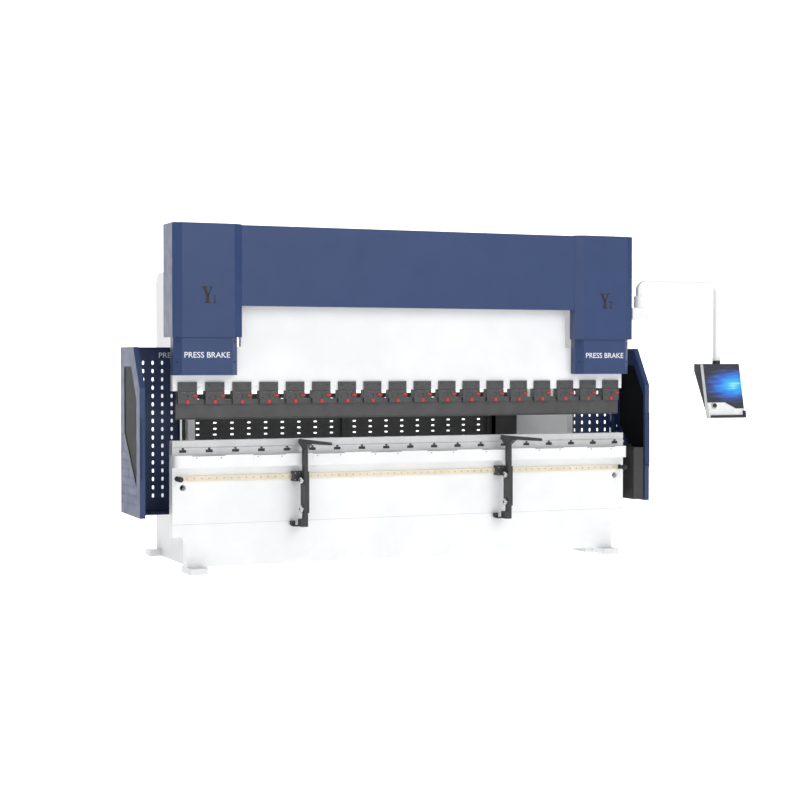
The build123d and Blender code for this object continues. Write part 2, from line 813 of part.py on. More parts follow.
# ---- Guards ------------------------------------------------------------------------------
def knuckles(x, y, levels, length, offset):
    """Hinge barrels round a vertical pin, one at each level."""
    barrels = []
    for level in levels:
        z0 = level + offset
        barrel = rod_z(2 * knuckle_r, z0, z0 + length, x, y)
        barrels.append(barrel - rod_z(2 * (pin_r + fit), z0 - 1, z0 + length + 1, x, y))
    return barrels


def hole_grid(x_span, x_margins, z_span, z_margins, counts):
    """Evenly spaced places between two edges each way, with a margin at every edge."""
    columns, rows = counts
    x0, x1 = x_span[0] + x_margins[0], x_span[1] - x_margins[1]
    z0, z1 = z_span[0] + z_margins[0], z_span[1] - z_margins[1]
    places = GridLocations((x1 - x0) / (columns - 1), (z1 - z0) / (rows - 1), columns, rows)
    return [Pos((x0 + x1) / 2, (z0 + z1) / 2) * place for place in places]


def guard_panel():
    """Right-hand fixed guard: perforated rear sheet, floor, flanges and hinge leaves."""
    face = outline([(guard_inner_x, guard_low_z), (guard_outer_x, guard_low_z),
                    (guard_outer_x, guard_top_z), (guard_inner_x, guard_top_z)])
    width, height = guard_hole
    slots = [spot * SlotOverall(height, width, rotation=90)
             for spot in hole_grid((guard_inner_x, guard_outer_x), guard_hole_margin_x,
                                   (guard_low_z, guard_top_z), guard_hole_margin_z,
                                   guard_hole_grid)]
    sheet = guard_sheet
    rear = guard_y + sheet
    panel = xz_plate(face - slots, guard_y, rear)
    panel += block(guard_inner_x, guard_outer_x, guard_floor_front_y, rear, guard_low_z,
                   guard_low_z + sheet)
    panel += block(guard_inner_x, guard_outer_x, guard_y - guard_flange, rear,
                   guard_top_z - sheet, guard_top_z)
    panel += block(guard_inner_x, guard_inner_x + sheet, guard_y - guard_flange, rear,
                   guard_low_z, guard_top_z)
    from_low, from_top, tab_height = guard_tab
    for z in (guard_low_z + from_low, guard_top_z - from_top):
        panel += block(frame_outer_x, guard_inner_x, guard_y - guard_flange, guard_y, z,
                       z + tab_height)
    flange_x = guard_outer_x - 2 * sheet
    for level in side_hinge_z:
        z1 = level + knuckle_length
        panel += block(flange_x, flange_x + sheet, rear, hinge_y + leaf_thick / 2, level, z1)
        panel += block(flange_x, hinge_x - pin_r - 2, hinge_y - leaf_thick / 2,
                       hinge_y + leaf_thick / 2, level, z1)
    for barrel in knuckles(hinge_x, hinge_y, side_hinge_z, knuckle_length, 0):
        panel += barrel
    return panel


def window_line(y):
    """Height of the window's sloping lower edge at a given Y."""
    (y1, z1), (y2, z2) = window_outline[3], window_outline[4]
    return z1 + (z2 - z1) * (y - y1) / (y2 - y1)


def door_holes():
    """Vent slots in the door below the window's slope."""
    pitch_y, pitch_z = door_hole_pitch
    rear = door_outline[0][0] - door_hole_edge
    floor = door_outline[0][1] + 2 * door_hole_edge
    slots = []
    for column in range(door_hole_columns):
        y = rear - column * pitch_y
        row = 0
        while floor + row * pitch_z < window_line(y) - door_hole_edge:
            slots.append(Pos(y, floor + row * pitch_z) * SlotOverall(door_hole[1], door_hole[0],
                                                                      rotation=90))
            row += 1
    return slots


def side_door():
    """Right-hand door: folded sheet tray with a window opening and hinge barrels."""
    face = outline(door_outline)
    outer_x = door_inner_x + door_thick
    body = yz_plate(face, door_inner_x, outer_x)
    inside = offset(face, amount=-door_sheet, kind=Kind.INTERSECTION)
    body -= yz_plate(inside, door_inner_x + door_sheet, outer_x - door_sheet)
    mouth = offset(face, amount=-door_sheet - door_lip, kind=Kind.INTERSECTION)
    body -= yz_plate(mouth, door_inner_x - 1, door_inner_x + door_sheet + 1)
    cut = outline(window_outline) + door_holes()
    body -= yz_plate(cut, outer_x - door_sheet - 1, outer_x + 1)
    for level in side_hinge_z:
        z0 = level + knuckle_length + gap
        body += block(hinge_x - leaf_thick / 2, hinge_x + leaf_thick / 2, door_rear_y - door_sheet,
                      hinge_y - pin_r - 2, z0, z0 + knuckle_length)
    for barrel in knuckles(hinge_x, hinge_y, side_hinge_z, knuckle_length,
                           knuckle_length + gap):
        body += barrel
    return body


def door_window():
    """Right-hand tinted pane behind the door's skin."""
    face = offset(outline(window_outline), amount=window_overlap, kind=Kind.INTERSECTION)
    rear_x = door_inner_x + door_thick - door_sheet
    return yz_plate(face, rear_x - window_thick, rear_x)


def door_handle():
    """Right-hand pull bar on two posts at the door's front edge."""
    x = door_inner_x + door_thick / 2
    low, high = handle_z
    pad, pad_thick = handle_pad
    bar = rod_z(handle_d, low - handle_overrun, high + handle_overrun, x,
                door_front_y - handle_reach)
    for z in handle_z:
        bar += rod_y(handle_d - 2, door_front_y - handle_reach, door_front_y, x, z)
        bar += block(x - pad / 2, x + pad / 2, door_front_y - pad_thick, door_front_y,
                     z - pad / 2, z + pad / 2)
    return bar


def rear_guard_frame():
    """Right-hand rear post with its filler sheet and hinge leaves."""
    width, depth = rear_post
    x0 = rear_post_x
    post = block(x0, x0 + width, frame_rear_y, frame_rear_y + depth, rear_post_low_z,
                 rear_door_top_z)
    post += block(x0 + width, frame_outer_x, frame_rear_y, frame_rear_y + guard_sheet,
                  rear_post_low_z, rear_door_top_z)
    for level in rear_hinge_z:
        z1 = level + knuckle_length
        leaf_x = x0 + rear_leaf_inset + leaf_thick
        post += block(x0 + rear_leaf_inset, leaf_x, frame_rear_y + depth,
                      rear_hinge_y + leaf_thick / 2, level, z1)
        post += block(rear_hinge_x + pin_r + 2, leaf_x, rear_hinge_y - leaf_thick / 2,
                      rear_hinge_y + leaf_thick / 2, level, z1)
    for barrel in knuckles(rear_hinge_x, rear_hinge_y, rear_hinge_z, knuckle_length, 0):
        post += barrel
    return post


def rear_door():
    """Right-hand rear door: slotted tray with hinge barrels and a pull."""
    x0, x1 = rear_door_inner_x, rear_door_outer_x
    face = outline([(x0, rear_door_low_z), (x1, rear_door_low_z), (x1, rear_door_top_z),
                    (x0, rear_door_top_z)])
    slots = [spot * SlotOverall(*rear_slot)
             for spot in hole_grid((x0, x1), rear_slot_margin_x,
                                   (rear_door_low_z, rear_door_top_z), rear_slot_margin_z,
                                   rear_slot_grid)]
    sheet = rear_door_sheet
    front_y = rear_door_y - rear_door_depth
    door = xz_plate(face - slots, rear_door_y - sheet, rear_door_y)
    rim = block(x0, x1, front_y, rear_door_y - sheet, rear_door_low_z, rear_door_top_z)
    rim -= block(x0 + sheet, x1 - sheet, front_y - 1, rear_door_y, rear_door_low_z + sheet,
                 rear_door_top_z - sheet)
    door += rim
    for level in rear_hinge_z:
        z0 = level + knuckle_length + gap
        z1 = z0 + knuckle_length
        leaf_x = x1 - rear_leaf_inset - leaf_thick
        door += block(leaf_x, leaf_x + leaf_thick, rear_door_y, rear_hinge_y + leaf_thick / 2,
                      z0, z1)
        door += block(leaf_x, rear_hinge_x - pin_r - 2, rear_hinge_y - leaf_thick / 2,
                      rear_hinge_y + leaf_thick / 2, z0, z1)
    for barrel in knuckles(rear_hinge_x, rear_hinge_y, rear_hinge_z, knuckle_length,
                           knuckle_length + gap):
        door += barrel
    inset, reach, length = rear_pull
    pull_top = rear_pull_z + length / 2
    door += rod_z(handle_d, rear_pull_z - length / 2, pull_top, x0 + inset, rear_door_y + reach)
    for z in (rear_pull_z - length / 2 + rear_pull_overrun, pull_top - rear_pull_overrun):
        door += rod_y(handle_d - 2, rear_door_y - sheet, rear_door_y + reach, x0 + inset, z)
    return door


def hinge_pins():
    """Pins through the side and rear door hinges, with a head on top."""
    wider, thick, proud = pin_head
    pins = []
    for x, y, levels in ((hinge_x, hinge_y, side_hinge_z),
                         (rear_hinge_x, rear_hinge_y, rear_hinge_z)):
        for level in levels:
            top = level + 2 * knuckle_length + 2 * gap
            pin = rod_z(2 * pin_r, level - 1, top + proud, x, y)
            pin += rod_z(2 * (pin_r + wider), level - thick, level, x, y)
            pins += both_sides(pin)
    return pins


def junction_box():
    """Narrow electrical box inside the right-hand guard."""
    x1 = guard_outer_x + junction_reach
    body = block(x1 - junction_width, x1, *junction_y, guard_low_z + guard_sheet, throat_low_z)
    return chamfer(body.edges().filter_by(Axis.Z).group_by(Axis.Y)[0], junction_edge)


def encoder_bracket():
    """Right-hand bracket from the bed end up to the ram's linear scale."""
    to_frame, thick = scale_bar
    x0 = frame_outer_x + to_frame
    x1 = x0 + thick
    bar = block(x0, x1, *scale_y, scale_low_z, scale_top_z)
    spacer_front, spacer_rear, spacer_height = scale_spacer
    for rise in scale_spacer_z:
        z0 = scale_low_z + rise
        bar += block(frame_outer_x, x0, spacer_front, spacer_rear, z0, z0 + spacer_height)
    head_x, head_y, head_z = scale_head
    bar += block(x1, x1 + head_x, scale_y[0] + 2, scale_y[0] + head_y, scale_top_z - head_z,
                 scale_top_z)
    return bar


# ---- Sheet supports ----------------------------------------------------------------------
def support_rail():
    """Linear rail on the bed's front with side grooves and bolt recesses."""
    depth, height = front_rail
    z0, z1 = front_rail_z, front_rail_z + height
    rail = block(-front_rail_half, front_rail_half, -depth, 0, z0, z1)
    cuts = []
    for z in (z0, z1):
        groove = Pos(0, -depth / 2, z) * Rot(45, 0, 0)
        cuts.append(groove * Box(2 * front_rail_half + 2, front_rail_groove, front_rail_groove))
    count = int(2 * (front_rail_half - rail_end_margin) / rail_bolt_pitch)
    for index in range(count + 1):
        x = (index - count / 2) * rail_bolt_pitch
        cuts.append(rod_y(rail_bolt_d, -depth - 1, -depth + rail_bolt_depth, x, (z0 + z1) / 2))
    return rail - cuts


def rail_end_stop():
    """Right-hand end stop: a stud with a rubber bumper."""
    z = front_rail_z + front_rail[1] / 2
    head_rear = -end_stop_length + end_stop_head
    stop = rod_y(end_stop_d, -end_stop_length, head_rear, end_stop_x, z)
    stop += rod_y(end_stop_d - 10, head_rear, -end_stop_base, end_stop_x, z)
    return stop + rod_y(end_stop_d - 2, -end_stop_base, 0, end_stop_x, z)


def support_carriage(x):
    """Bearing block on the rail with the hanging bracket that holds the post."""
    depth, height = front_rail
    half = post_width / 2
    top = carriage_low_z + carriage_height
    right = x + half + gap + side_leg
    body = block(x - carriage_left, x + half, carriage_front_y, -carriage_bed_gap,
                 carriage_low_z, top)
    body -= block(x - carriage_left - 1, x + half + 1, -depth - gap, 0, front_rail_z - gap,
                  front_rail_z + height + gap)
    body += block(x - half, right, post_rear_y + gap, carriage_front_y, hanger_low_z, top)
    body += block(x - half, right, post_rear_y + gap, hanger_rear_y, hanger_low_z, carriage_low_z)
    body += block(x + half + gap, right, post_front_y, carriage_front_y, side_leg_low_z, top)
    for z in knob_z.values():
        body -= rod_x(stud_d + 2 * fit, x, right + 1, knob_y, z)
    return body


def support_post(x):
    """Upright with foot, guide pad, gussets and the tapered blade on top."""
    half = post_width / 2
    blade_w, blade_h = blade
    tip_low = table_height - blade_h
    root_low = tip_low - blade_root_drop
    post = block(x - half, x + half, post_front_y, post_rear_y, post_low_z, tip_low)
    wings = outline([(post_front_y, gusset_low_z), (gusset_reach_y, root_low),
                     (gusset_reach_y, tip_low + 1), (blade_rear_y, tip_low + 1),
                     (blade_rear_y, root_low), (post_rear_y, gusset_low_z)])
    post += yz_plate(wings, x - half, x + half)
    arm = outline([(blade_rear_y, table_height), (blade_front_y, table_height),
                   (blade_front_y, tip_low), (gusset_reach_y, root_low),
                   (blade_rear_y, root_low)])
    post += yz_plate(arm, x - blade_w / 2, x + blade_w / 2)
    post += block(x - foot_left, x + half, post_front_y, foot_rear_y, post_low_z,
                  post_low_z + foot_height_z)
    past_pad, overlap, arm_thick = pad_arm
    pad_low = post_low_z + arm_thick
    pad_y = -pad_d / 2 - gap
    post += block(x + pad_x - past_pad, x + half, foot_rear_y - overlap, -pad_d / 2, post_low_z,
                  pad_low)
    post += rod_z(pad_d, pad_low, pad_low + pad_height, x + pad_x, pad_y)
    post += rod_z(pad_d / 2, post_low_z, pad_low, x + pad_x, pad_y)
    low, high = post_travel
    width = stud_d + 1
    for z in knob_z.values():
        z0, z1 = z - high, z - low
        post -= block(x - half - 1, x + half + 1, knob_y - width / 2, knob_y + width / 2, z0, z1)
        for end in (z0, z1):
            post -= rod_x(width, x - half - 1, x + half + 1, knob_y, end)
    return post


def star_knob(x, z):
    """Five-lobed clamping knob with its stud through the post."""
    face_x = x - post_width / 2 - knob_play
    outer = face_x - knob_head
    right = x + post_width / 2 + gap + side_leg
    knob = rod_x(knob_d * 0.62, outer, face_x, knob_y, z)
    for index in range(5):
        angle = radians(72 * index + 90)
        y = knob_y + knob_d * 0.31 * cos(angle)
        knob += rod_x(knob_d * 0.38, outer, outer + knob_head * 0.6, y,
                      z + knob_d * 0.31 * sin(angle))
    return knob + rod_x(stud_d, face_x - 1, right + stud_overrun, knob_y, z)


# ---- Backgauge ---------------------------------------------------------------------------
def gauge_guide():
    """Right-hand closed linear unit behind the bed."""
    width, length, height = gauge_unit
    body = block(gauge_unit_x - width / 2, gauge_unit_x + width / 2, bed_thick,
                 bed_thick + length, gauge_unit_low_z, gauge_unit_low_z + height)
    return chamfer(body.edges().filter_by(Axis.Y), gauge_unit_edge)


def gauge_carriage():
    """Two saddles on the linear units, joined by a crossbar with a column at each end."""
    width, length, height = saddle
    z0 = gauge_unit_low_z + gauge_unit[2] + gap
    z1 = z0 + height
    bar_depth, bar_height = crossbar
    mid_y = saddle_y + length / 2
    top = z1 + bar_height
    end = gauge_unit_x + width / 2
    body = block(-end, end, mid_y - bar_depth / 2, mid_y + bar_depth / 2, z1, top)
    for side in (-1, 1):
        x = side * gauge_unit_x
        body += block(x - width / 2, x + width / 2, saddle_y, saddle_y + length, z0, z1)
        body += block(x - column / 2, x + column / 2, mid_y - column / 2, mid_y + column / 2,
                      top, column_top_z)
    return body


def gauge_beam_part():
    """Beam that lifts on the two columns and carries the fingers."""
    depth, height = gauge_beam
    z0 = gauge_beam_low_z
    mid_y = saddle_y + saddle[1] / 2
    rear = mid_y + column / 2 + bracket_wall
    hole = column / 2 + gap
    beam = block(-gauge_beam_half, gauge_beam_half, gauge_beam_y, gauge_beam_y + depth, z0,
                 z0 + height)
    for side in (-1, 1):
        x = side * gauge_unit_x
        bracket = block(x - bracket_half, x + bracket_half, gauge_beam_y + depth, rear, z0,
                        z0 + bracket_height)
        beam += bracket - block(x - hole, x + hole, mid_y - hole, mid_y + hole, z0 - 1,
                                z0 + bracket_height + 1)
    return beam


def gauge_finger(x):
    """Stop finger that slides along the beam."""
    z0 = gauge_beam_low_z + gauge_beam[1] + gap
    base_w, base_d = finger_base
    front = gauge_beam_y - finger_front
    half = finger_width / 2
    finger = block(x - base_w / 2, x + base_w / 2, front, front + base_d, z0, z0 + finger_height)
    finger += block(x - base_w / 2, x + base_w / 2, front, gauge_beam_y - gap,
                    z0 - finger_apron, z0)
    finger += block(x - half, x + half, finger_tip_y, front, z0, z0 + finger_height)
    return finger - block(x - half - 1, x + half + 1, finger_tip_y - 1,
                          finger_tip_y + finger_notch, z0 - 1, z0 + finger_height / 2)


# ---- Operator arm and pendant ------------------------------------------------------------
def arm_mount():
    """Bracket from the frame round the cylinder cover, with the arm's pivot pin."""
    width, depth, height = mount_block
    bar_depth, bar_height = mount_bar
    x0 = arm_x - width / 2
    rear_y = bend_y + cylinder_block / 2 + mount_cylinder_gap + bar_depth
    mid_z = mount_low_z + height / 2
    body = block(frame_outer_x, arm_x + width / 2, rear_y - bar_depth, rear_y,
                 mid_z - bar_height / 2, mid_z + bar_height / 2)
    flange, reach_front, reach_rear = mount_flange
    body += block(frame_outer_x, frame_outer_x + flange, rear_y - reach_front,
                  rear_y + reach_rear, mid_z - bar_height, mid_z + bar_height)
    body += block(x0, x0 + width, rear_y - depth, rear_y, mount_low_z, mount_low_z + height)
    top = mount_low_z + height
    return body + rod_z(pivot_pin_d, top, top + hub_height, arm_x, arm_y)


def pendant_arm():
    """Swivelling tube arm: hub, riser, boom and drop to the pendant."""
    base = mount_low_z + mount_block[2]
    hub_top = base + gap + hub_height
    path = FilletPolyline((arm_x, arm_y, hub_top), (arm_x, arm_y, arm_top_z),
                          (pendant_x, arm_y, arm_top_z), (pendant_x, arm_y, arm_low_z),
                          radius=arm_bend_r)
    section = RectangleRounded(arm_tube, arm_tube, arm_tube_r)
    tube = sweep(Pos(arm_x, arm_y, hub_top) * section, path=path)
    hub = rod_z(hub_d, base + gap, hub_top + 4, arm_x, arm_y)
    hub -= rod_z(pivot_pin_d + 2 * fit, base, base + hub_height + 0.5, arm_x, arm_y)
    return hub + tube


def pendant_point(drop, proud):
    """Point on the tilted front: drop down its slope, proud of its face."""
    slope = radians(pendant_tilt)
    y = arm_y - pendant_depth / 2 - drop * sin(slope) - proud * cos(slope)
    return y, pendant_top_z - drop * cos(slope) + proud * sin(slope)


def pendant_plane(x, drop, proud):
    """Plane on the tilted front that faces the operator."""
    slope = radians(pendant_tilt)
    return Plane(origin=(x, *pendant_point(drop, proud)), x_dir=(1, 0, 0),
                 z_dir=(0, -cos(slope), sin(slope)))


def tilted_slab(x0, x1, drop0, drop1, proud0, proud1):
    """A slab that lies on the pendant's tilted front."""
    corners = [pendant_point(drop0, proud0), pendant_point(drop1, proud0),
               pendant_point(drop1, proud1), pendant_point(drop0, proud1)]
    return yz_plate(outline(corners), x0, x1)


def pendant_slope():
    """Length of the pendant's front along its slope."""
    return pendant_height / cos(radians(pendant_tilt))


def pendant_housing():
    """Dark wedge behind the bezel with the swivel collar."""
    side_inset, end_inset = housing_inset
    half = pendant_width / 2 - side_inset
    rear_y = arm_y + pendant_depth / 2
    face = outline([(rear_y, pendant_top_z), (rear_y, pendant_top_z - pendant_back),
                    pendant_point(pendant_slope() - end_inset, -bezel_depth),
                    pendant_point(0, -bezel_depth)])
    wedge = yz_plate(face, pendant_x - half, pendant_x + half)
    return wedge + rod_z(collar_d, pendant_top_z - 5, arm_low_z - gap, pendant_x, arm_y)


def screen_face(inset):
    """The screen pane: its lower edge steps down towards the right."""
    half = pendant_width / 2 - inset
    low = screen_low_drop - inset
    deep = screen_drop - inset
    step_start, step_end = screen_step
    points = [(-half, inset - 1), (half, inset - 1), (half, deep), (step_end - inset, deep),
              (step_start, low), (-half, low)]
    face = outline([(x, -drop) for x, drop in points])
    return extrude(pendant_plane(pendant_x, 0, -screen_seat) * face, screen_seat + 1)


def pendant_bezel():
    """White front frame with the stepped lower panel."""
    half = pendant_width / 2
    length = pendant_slope()
    room, depth = estop_seat
    x = pendant_x - half + estop_edge
    side = estop_d / 2 + room
    drop = length - estop_drop
    bezel = tilted_slab(pendant_x - half, pendant_x + half, 0, length, -bezel_depth, 0)
    seat = tilted_slab(x - side, x + side, drop - side, drop + side, -depth, 1)
    return bezel - screen_face(0) - seat


def pendant_screen():
    """Dark glass pane set into the bezel."""
    cap = tilted_slab(pendant_x - pendant_width, pendant_x + pendant_width, -collar_d,
                      pendant_slope() + collar_d, 0, collar_d)
    return screen_face(screen_gap) - cap


def emergency_stop():
    """Mushroom button on the lower panel."""
    x = pendant_x - pendant_width / 2 + estop_edge
    plane = pendant_plane(x, pendant_slope() - estop_drop, estop_travel + 1 - estop_seat[1])
    neck = extrude(plane * Circle(estop_d / 2 - estop_neck), estop_height)
    head = extrude(plane.offset(estop_travel + 2) * Circle(estop_d / 2), estop_height - 10)
    return neck + fillet(head.edges().filter_by(GeomType.CIRCLE), 3)


def pendant_handle():
    """Dark hand bar along the pendant's lower edge with an end bracket."""
    half = pendant_width / 2
    length = pendant_slope()
    left, right, height, depth = handle_bar
    bar = tilted_slab(pendant_x - half + left, pendant_x + half - right, length - height - right,
                      length - right, 0, depth)
    inner, outer, height, depth = handle_bracket
    bar += tilted_slab(pendant_x + half - inner, pendant_x + half + outer, length - height,
                       length, 0, depth)
    return bar


# ---- Nodes -------------------------------------------------------------------------------
def main():
    """Write every node."""
    os.makedirs("parts", exist_ok=True)
    frame = side_frame()
    save("right_side_frame", frame)
    save("left_side_frame", mirrored(frame))
    save("bed_plate", bed_plate())
    save("tie_beams", tie_beams())
    save("table_rail", table_rail())
    save("lower_die", lower_die())
    save("front_band", front_band())
    save("access_plates", access_plates())
    save("support_rail", support_rail())
    save("rail_end_stops", both_sides(rail_end_stop()))
    save("cylinders", both_sides(cylinder()))
    save("valve_manifolds", both_sides(valve_manifold()))
    save("oil_tank", oil_tank())
    save("pump_motor", pump_motor())
    save("hydraulic_pipes", hydraulic_pipes())
    save("cylinder_covers", both_sides(cylinder_cover()))
    save("beam_cover", beam_cover())
    save("ram_guide_rails", both_sides(ram_guide_rail()))
    save("guard_panels", both_sides(guard_panel()))
    save("junction_box", junction_box())
    save("encoder_brackets", both_sides(encoder_bracket()))
    save("arm_mount", arm_mount())
    save("backgauge_guides", both_sides(gauge_guide()))
    save("rear_guard_frame", both_sides(rear_guard_frame()))
    save("hinge_pins", hinge_pins())

    save("ram_plate", ram_plate())
    save("clamp_bodies", [clamp_body(x) for x in clamp_positions()])
    save("clamp_plates", [clamp_plate(x) for x in clamp_positions()])
    save("clamp_locks", [clamp_lock(x) for x in clamp_positions()])
    save("clamp_buttons", [clamp_button(x) for x in clamp_positions()])
    save("punch", punch())
    save("piston_rods", both_sides(piston_rod()))
    save("ram_covers", both_sides(ram_cover()))
    save("ram_guide_shoes", both_sides(ram_guide_shoe()))

    door, window, handle = side_door(), door_window(), door_handle()
    for side, place in (("right", lambda shape: shape), ("left", mirrored)):
        save(f"{side}_door", place(door))
        save(f"{side}_door_window", place(window))
        save(f"{side}_door_handle", place(handle))
    tray = rear_door()
    save("right_rear_door", tray)
    save("left_rear_door", mirrored(tray))

    for side, x in support_x.items():
        save(f"{side}_support_carriage", support_carriage(x))
        save(f"{side}_support_post", support_post(x))
        for level, z in knob_z.items():
            save(f"{side}_{level}_knob", star_knob(x, z))

    save("backgauge_carriage", gauge_carriage())
    save("backgauge_beam", gauge_beam_part())
    save("left_finger", gauge_finger(-finger_x))
    save("right_finger", gauge_finger(finger_x))

    save("pendant_arm", pendant_arm())
    save("pendant_housing", pendant_housing())
    save("pendant_bezel", pendant_bezel())
    save("pendant_screen", pendant_screen())
    save("pendant_handle", pendant_handle())
    save("emergency_stop", emergency_stop())


main()
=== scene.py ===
"""Press brake: finishes, fasteners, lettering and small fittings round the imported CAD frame.

Everything is in metres in the row frame: +X along the table, +Y to the rear, +Z up.
"""
import json
import math

import bmesh
import bpy
from mathutils import Matrix, Vector


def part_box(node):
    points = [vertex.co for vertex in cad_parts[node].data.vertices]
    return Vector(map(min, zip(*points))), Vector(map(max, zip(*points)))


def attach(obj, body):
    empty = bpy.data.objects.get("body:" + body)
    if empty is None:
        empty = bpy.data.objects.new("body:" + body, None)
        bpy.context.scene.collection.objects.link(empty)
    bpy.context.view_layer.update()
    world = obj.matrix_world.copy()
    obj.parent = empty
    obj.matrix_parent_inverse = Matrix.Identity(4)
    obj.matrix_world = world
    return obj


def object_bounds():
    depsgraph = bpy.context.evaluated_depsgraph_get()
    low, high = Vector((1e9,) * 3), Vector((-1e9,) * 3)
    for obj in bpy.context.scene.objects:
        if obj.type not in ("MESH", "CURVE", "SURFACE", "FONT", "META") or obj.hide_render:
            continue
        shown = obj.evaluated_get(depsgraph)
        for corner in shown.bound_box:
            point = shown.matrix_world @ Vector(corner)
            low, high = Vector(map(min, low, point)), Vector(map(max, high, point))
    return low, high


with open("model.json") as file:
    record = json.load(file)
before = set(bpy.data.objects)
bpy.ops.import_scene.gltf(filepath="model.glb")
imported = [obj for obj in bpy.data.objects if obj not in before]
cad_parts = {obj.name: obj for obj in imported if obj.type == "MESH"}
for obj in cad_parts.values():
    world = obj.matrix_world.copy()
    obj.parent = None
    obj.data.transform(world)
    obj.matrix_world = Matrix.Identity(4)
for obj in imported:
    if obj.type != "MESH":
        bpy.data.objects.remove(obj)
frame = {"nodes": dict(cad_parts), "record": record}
cad_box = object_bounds()

SIDES = {"left": -1, "right": 1}


# ---- Colours (linear RGB) -----------------------------------------------------------------
def srgb(red, green, blue):
    """A colour from 0-255 display values."""
    def linear(value):
        value = value / 255
        return value / 12.92 if value <= 0.04045 else ((value + 0.055) / 1.055) ** 2.4
    return (linear(red), linear(green), linear(blue), 1.0)


def shade(colour, factor):
    """The same colour, lighter or darker."""
    return tuple(min(1.0, channel * factor) for channel in colour[:3]) + (1.0,)


WHITE = srgb(238, 239, 240)
FRAME_WHITE = srgb(226, 227, 228)
BLUE = srgb(40, 62, 106)
GUARD_BLUE = srgb(38, 58, 100)
DARK = srgb(52, 52, 53)
TOOL = srgb(78, 78, 79)
STEEL = srgb(216, 217, 218)
CREAM = srgb(232, 220, 196)
RED = srgb(214, 34, 38)
SILVER = srgb(205, 206, 208)
INK = srgb(34, 26, 22)
LETTER_WHITE = srgb(236, 238, 242)


# ---- Shader building blocks ---------------------------------------------------------------
class Shader:
    """A node material that is built up step by step round one Principled shader."""

    def __init__(self, name, colour, rough, metallic=0.0, coat=0.0):
        self.material = bpy.data.materials.new(name)
        self.material.use_nodes = True
        self.tree = self.material.node_tree
        self.bsdf = self.tree.nodes["Principled BSDF"]
        self.bsdf.inputs["Base Color"].default_value = colour
        self.bsdf.inputs["Roughness"].default_value = rough
        self.bsdf.inputs["Metallic"].default_value = metallic
        self.bsdf.inputs["Coat Weight"].default_value = coat
        self.place = self.node("ShaderNodeTexCoord").outputs["Object"]
        self.height = None

    def node(self, kind, **inputs):
        """A new node with its unlinked inputs set by name."""
        made = self.tree.nodes.new(kind)
        for key, value in inputs.items():
            made.inputs[key.replace("_", " ")].default_value = value
        return made

    def link(self, source, target):
        """Joins an output to an input."""
        self.tree.links.new(source, target)

    def stretched(self, scale):
        """Object coordinates scaled by a different factor along each axis."""
        mapping = self.node("ShaderNodeMapping", Scale=scale)
        self.link(self.place, mapping.inputs["Vector"])
        return mapping.outputs["Vector"]

    def noise(self, scale, detail=3.0, rough=0.55, vector=None):
        """Noise from 0 to 1 at a scale in cycles per metre."""
        made = self.node("ShaderNodeTexNoise", Scale=scale, Detail=detail, Roughness=rough)
        self.link(vector or self.place, made.inputs["Vector"])
        return made.outputs["Fac"]

    def voronoi(self, scale, vector=None):
        """Distance to the nearest cell centre."""
        made = self.node("ShaderNodeTexVoronoi", Scale=scale)
        self.link(vector or self.place, made.inputs["Vector"])
        return made.outputs["Distance"]

    def ramp(self, source, stops):
        """A colour ramp through (position, colour) stops."""
        made = self.node("ShaderNodeValToRGB")
        elements = made.color_ramp.elements
        while len(elements) < len(stops):
            elements.new(0.5)
        for element, (position, colour) in zip(elements, stops):
            element.position = position
            element.color = colour
        self.link(source, made.inputs["Fac"])
        return made.outputs["Color"]

    def level(self, source, low, high, out_low, out_high):
        """Maps one range to another, clamped."""
        made = self.node("ShaderNodeMapRange")
        values = (low, high, out_low, out_high)
        for socket, value in zip(("From Min", "From Max", "To Min", "To Max"), values):
            made.inputs[socket].default_value = value
        self.link(source, made.inputs["Value"])
        return made.outputs["Result"]

    def mix(self, factor, first, second):
        """Blends two colours, given as sockets or values."""
        made = self.tree.nodes.new("ShaderNodeMix")
        made.data_type = "RGBA"
        for index, value in ((0, factor), (6, first), (7, second)):
            if isinstance(value, bpy.types.NodeSocket):
                self.link(value, made.inputs[index])
            else:
                made.inputs[index].default_value = value
        return made.outputs[2]

    def axis(self, index):
        """One coordinate of the place on the object."""
        made = self.node("ShaderNodeSeparateXYZ")
        self.link(self.place, made.inputs["Vector"])
        return made.outputs[index]

    def colour(self, socket):
        """Sets the base colour from a socket."""
        self.link(socket, self.bsdf.inputs["Base Color"])
        return self

    def rough(self, socket):
        """Sets the roughness from a socket."""
        self.link(socket, self.bsdf.inputs["Roughness"])
        return self

    def bump(self, socket, strength, distance):
        """Adds one layer of relief on top of those before it."""
        made = self.node("ShaderNodeBump", Strength=strength, Distance=distance)
        self.link(socket, made.inputs["Height"])
        if self.height is not None:
            self.link(self.height, made.inputs["Normal"])
        self.height = made.outputs["Normal"]
        self.link(self.height, self.bsdf.inputs["Normal"])
        return self


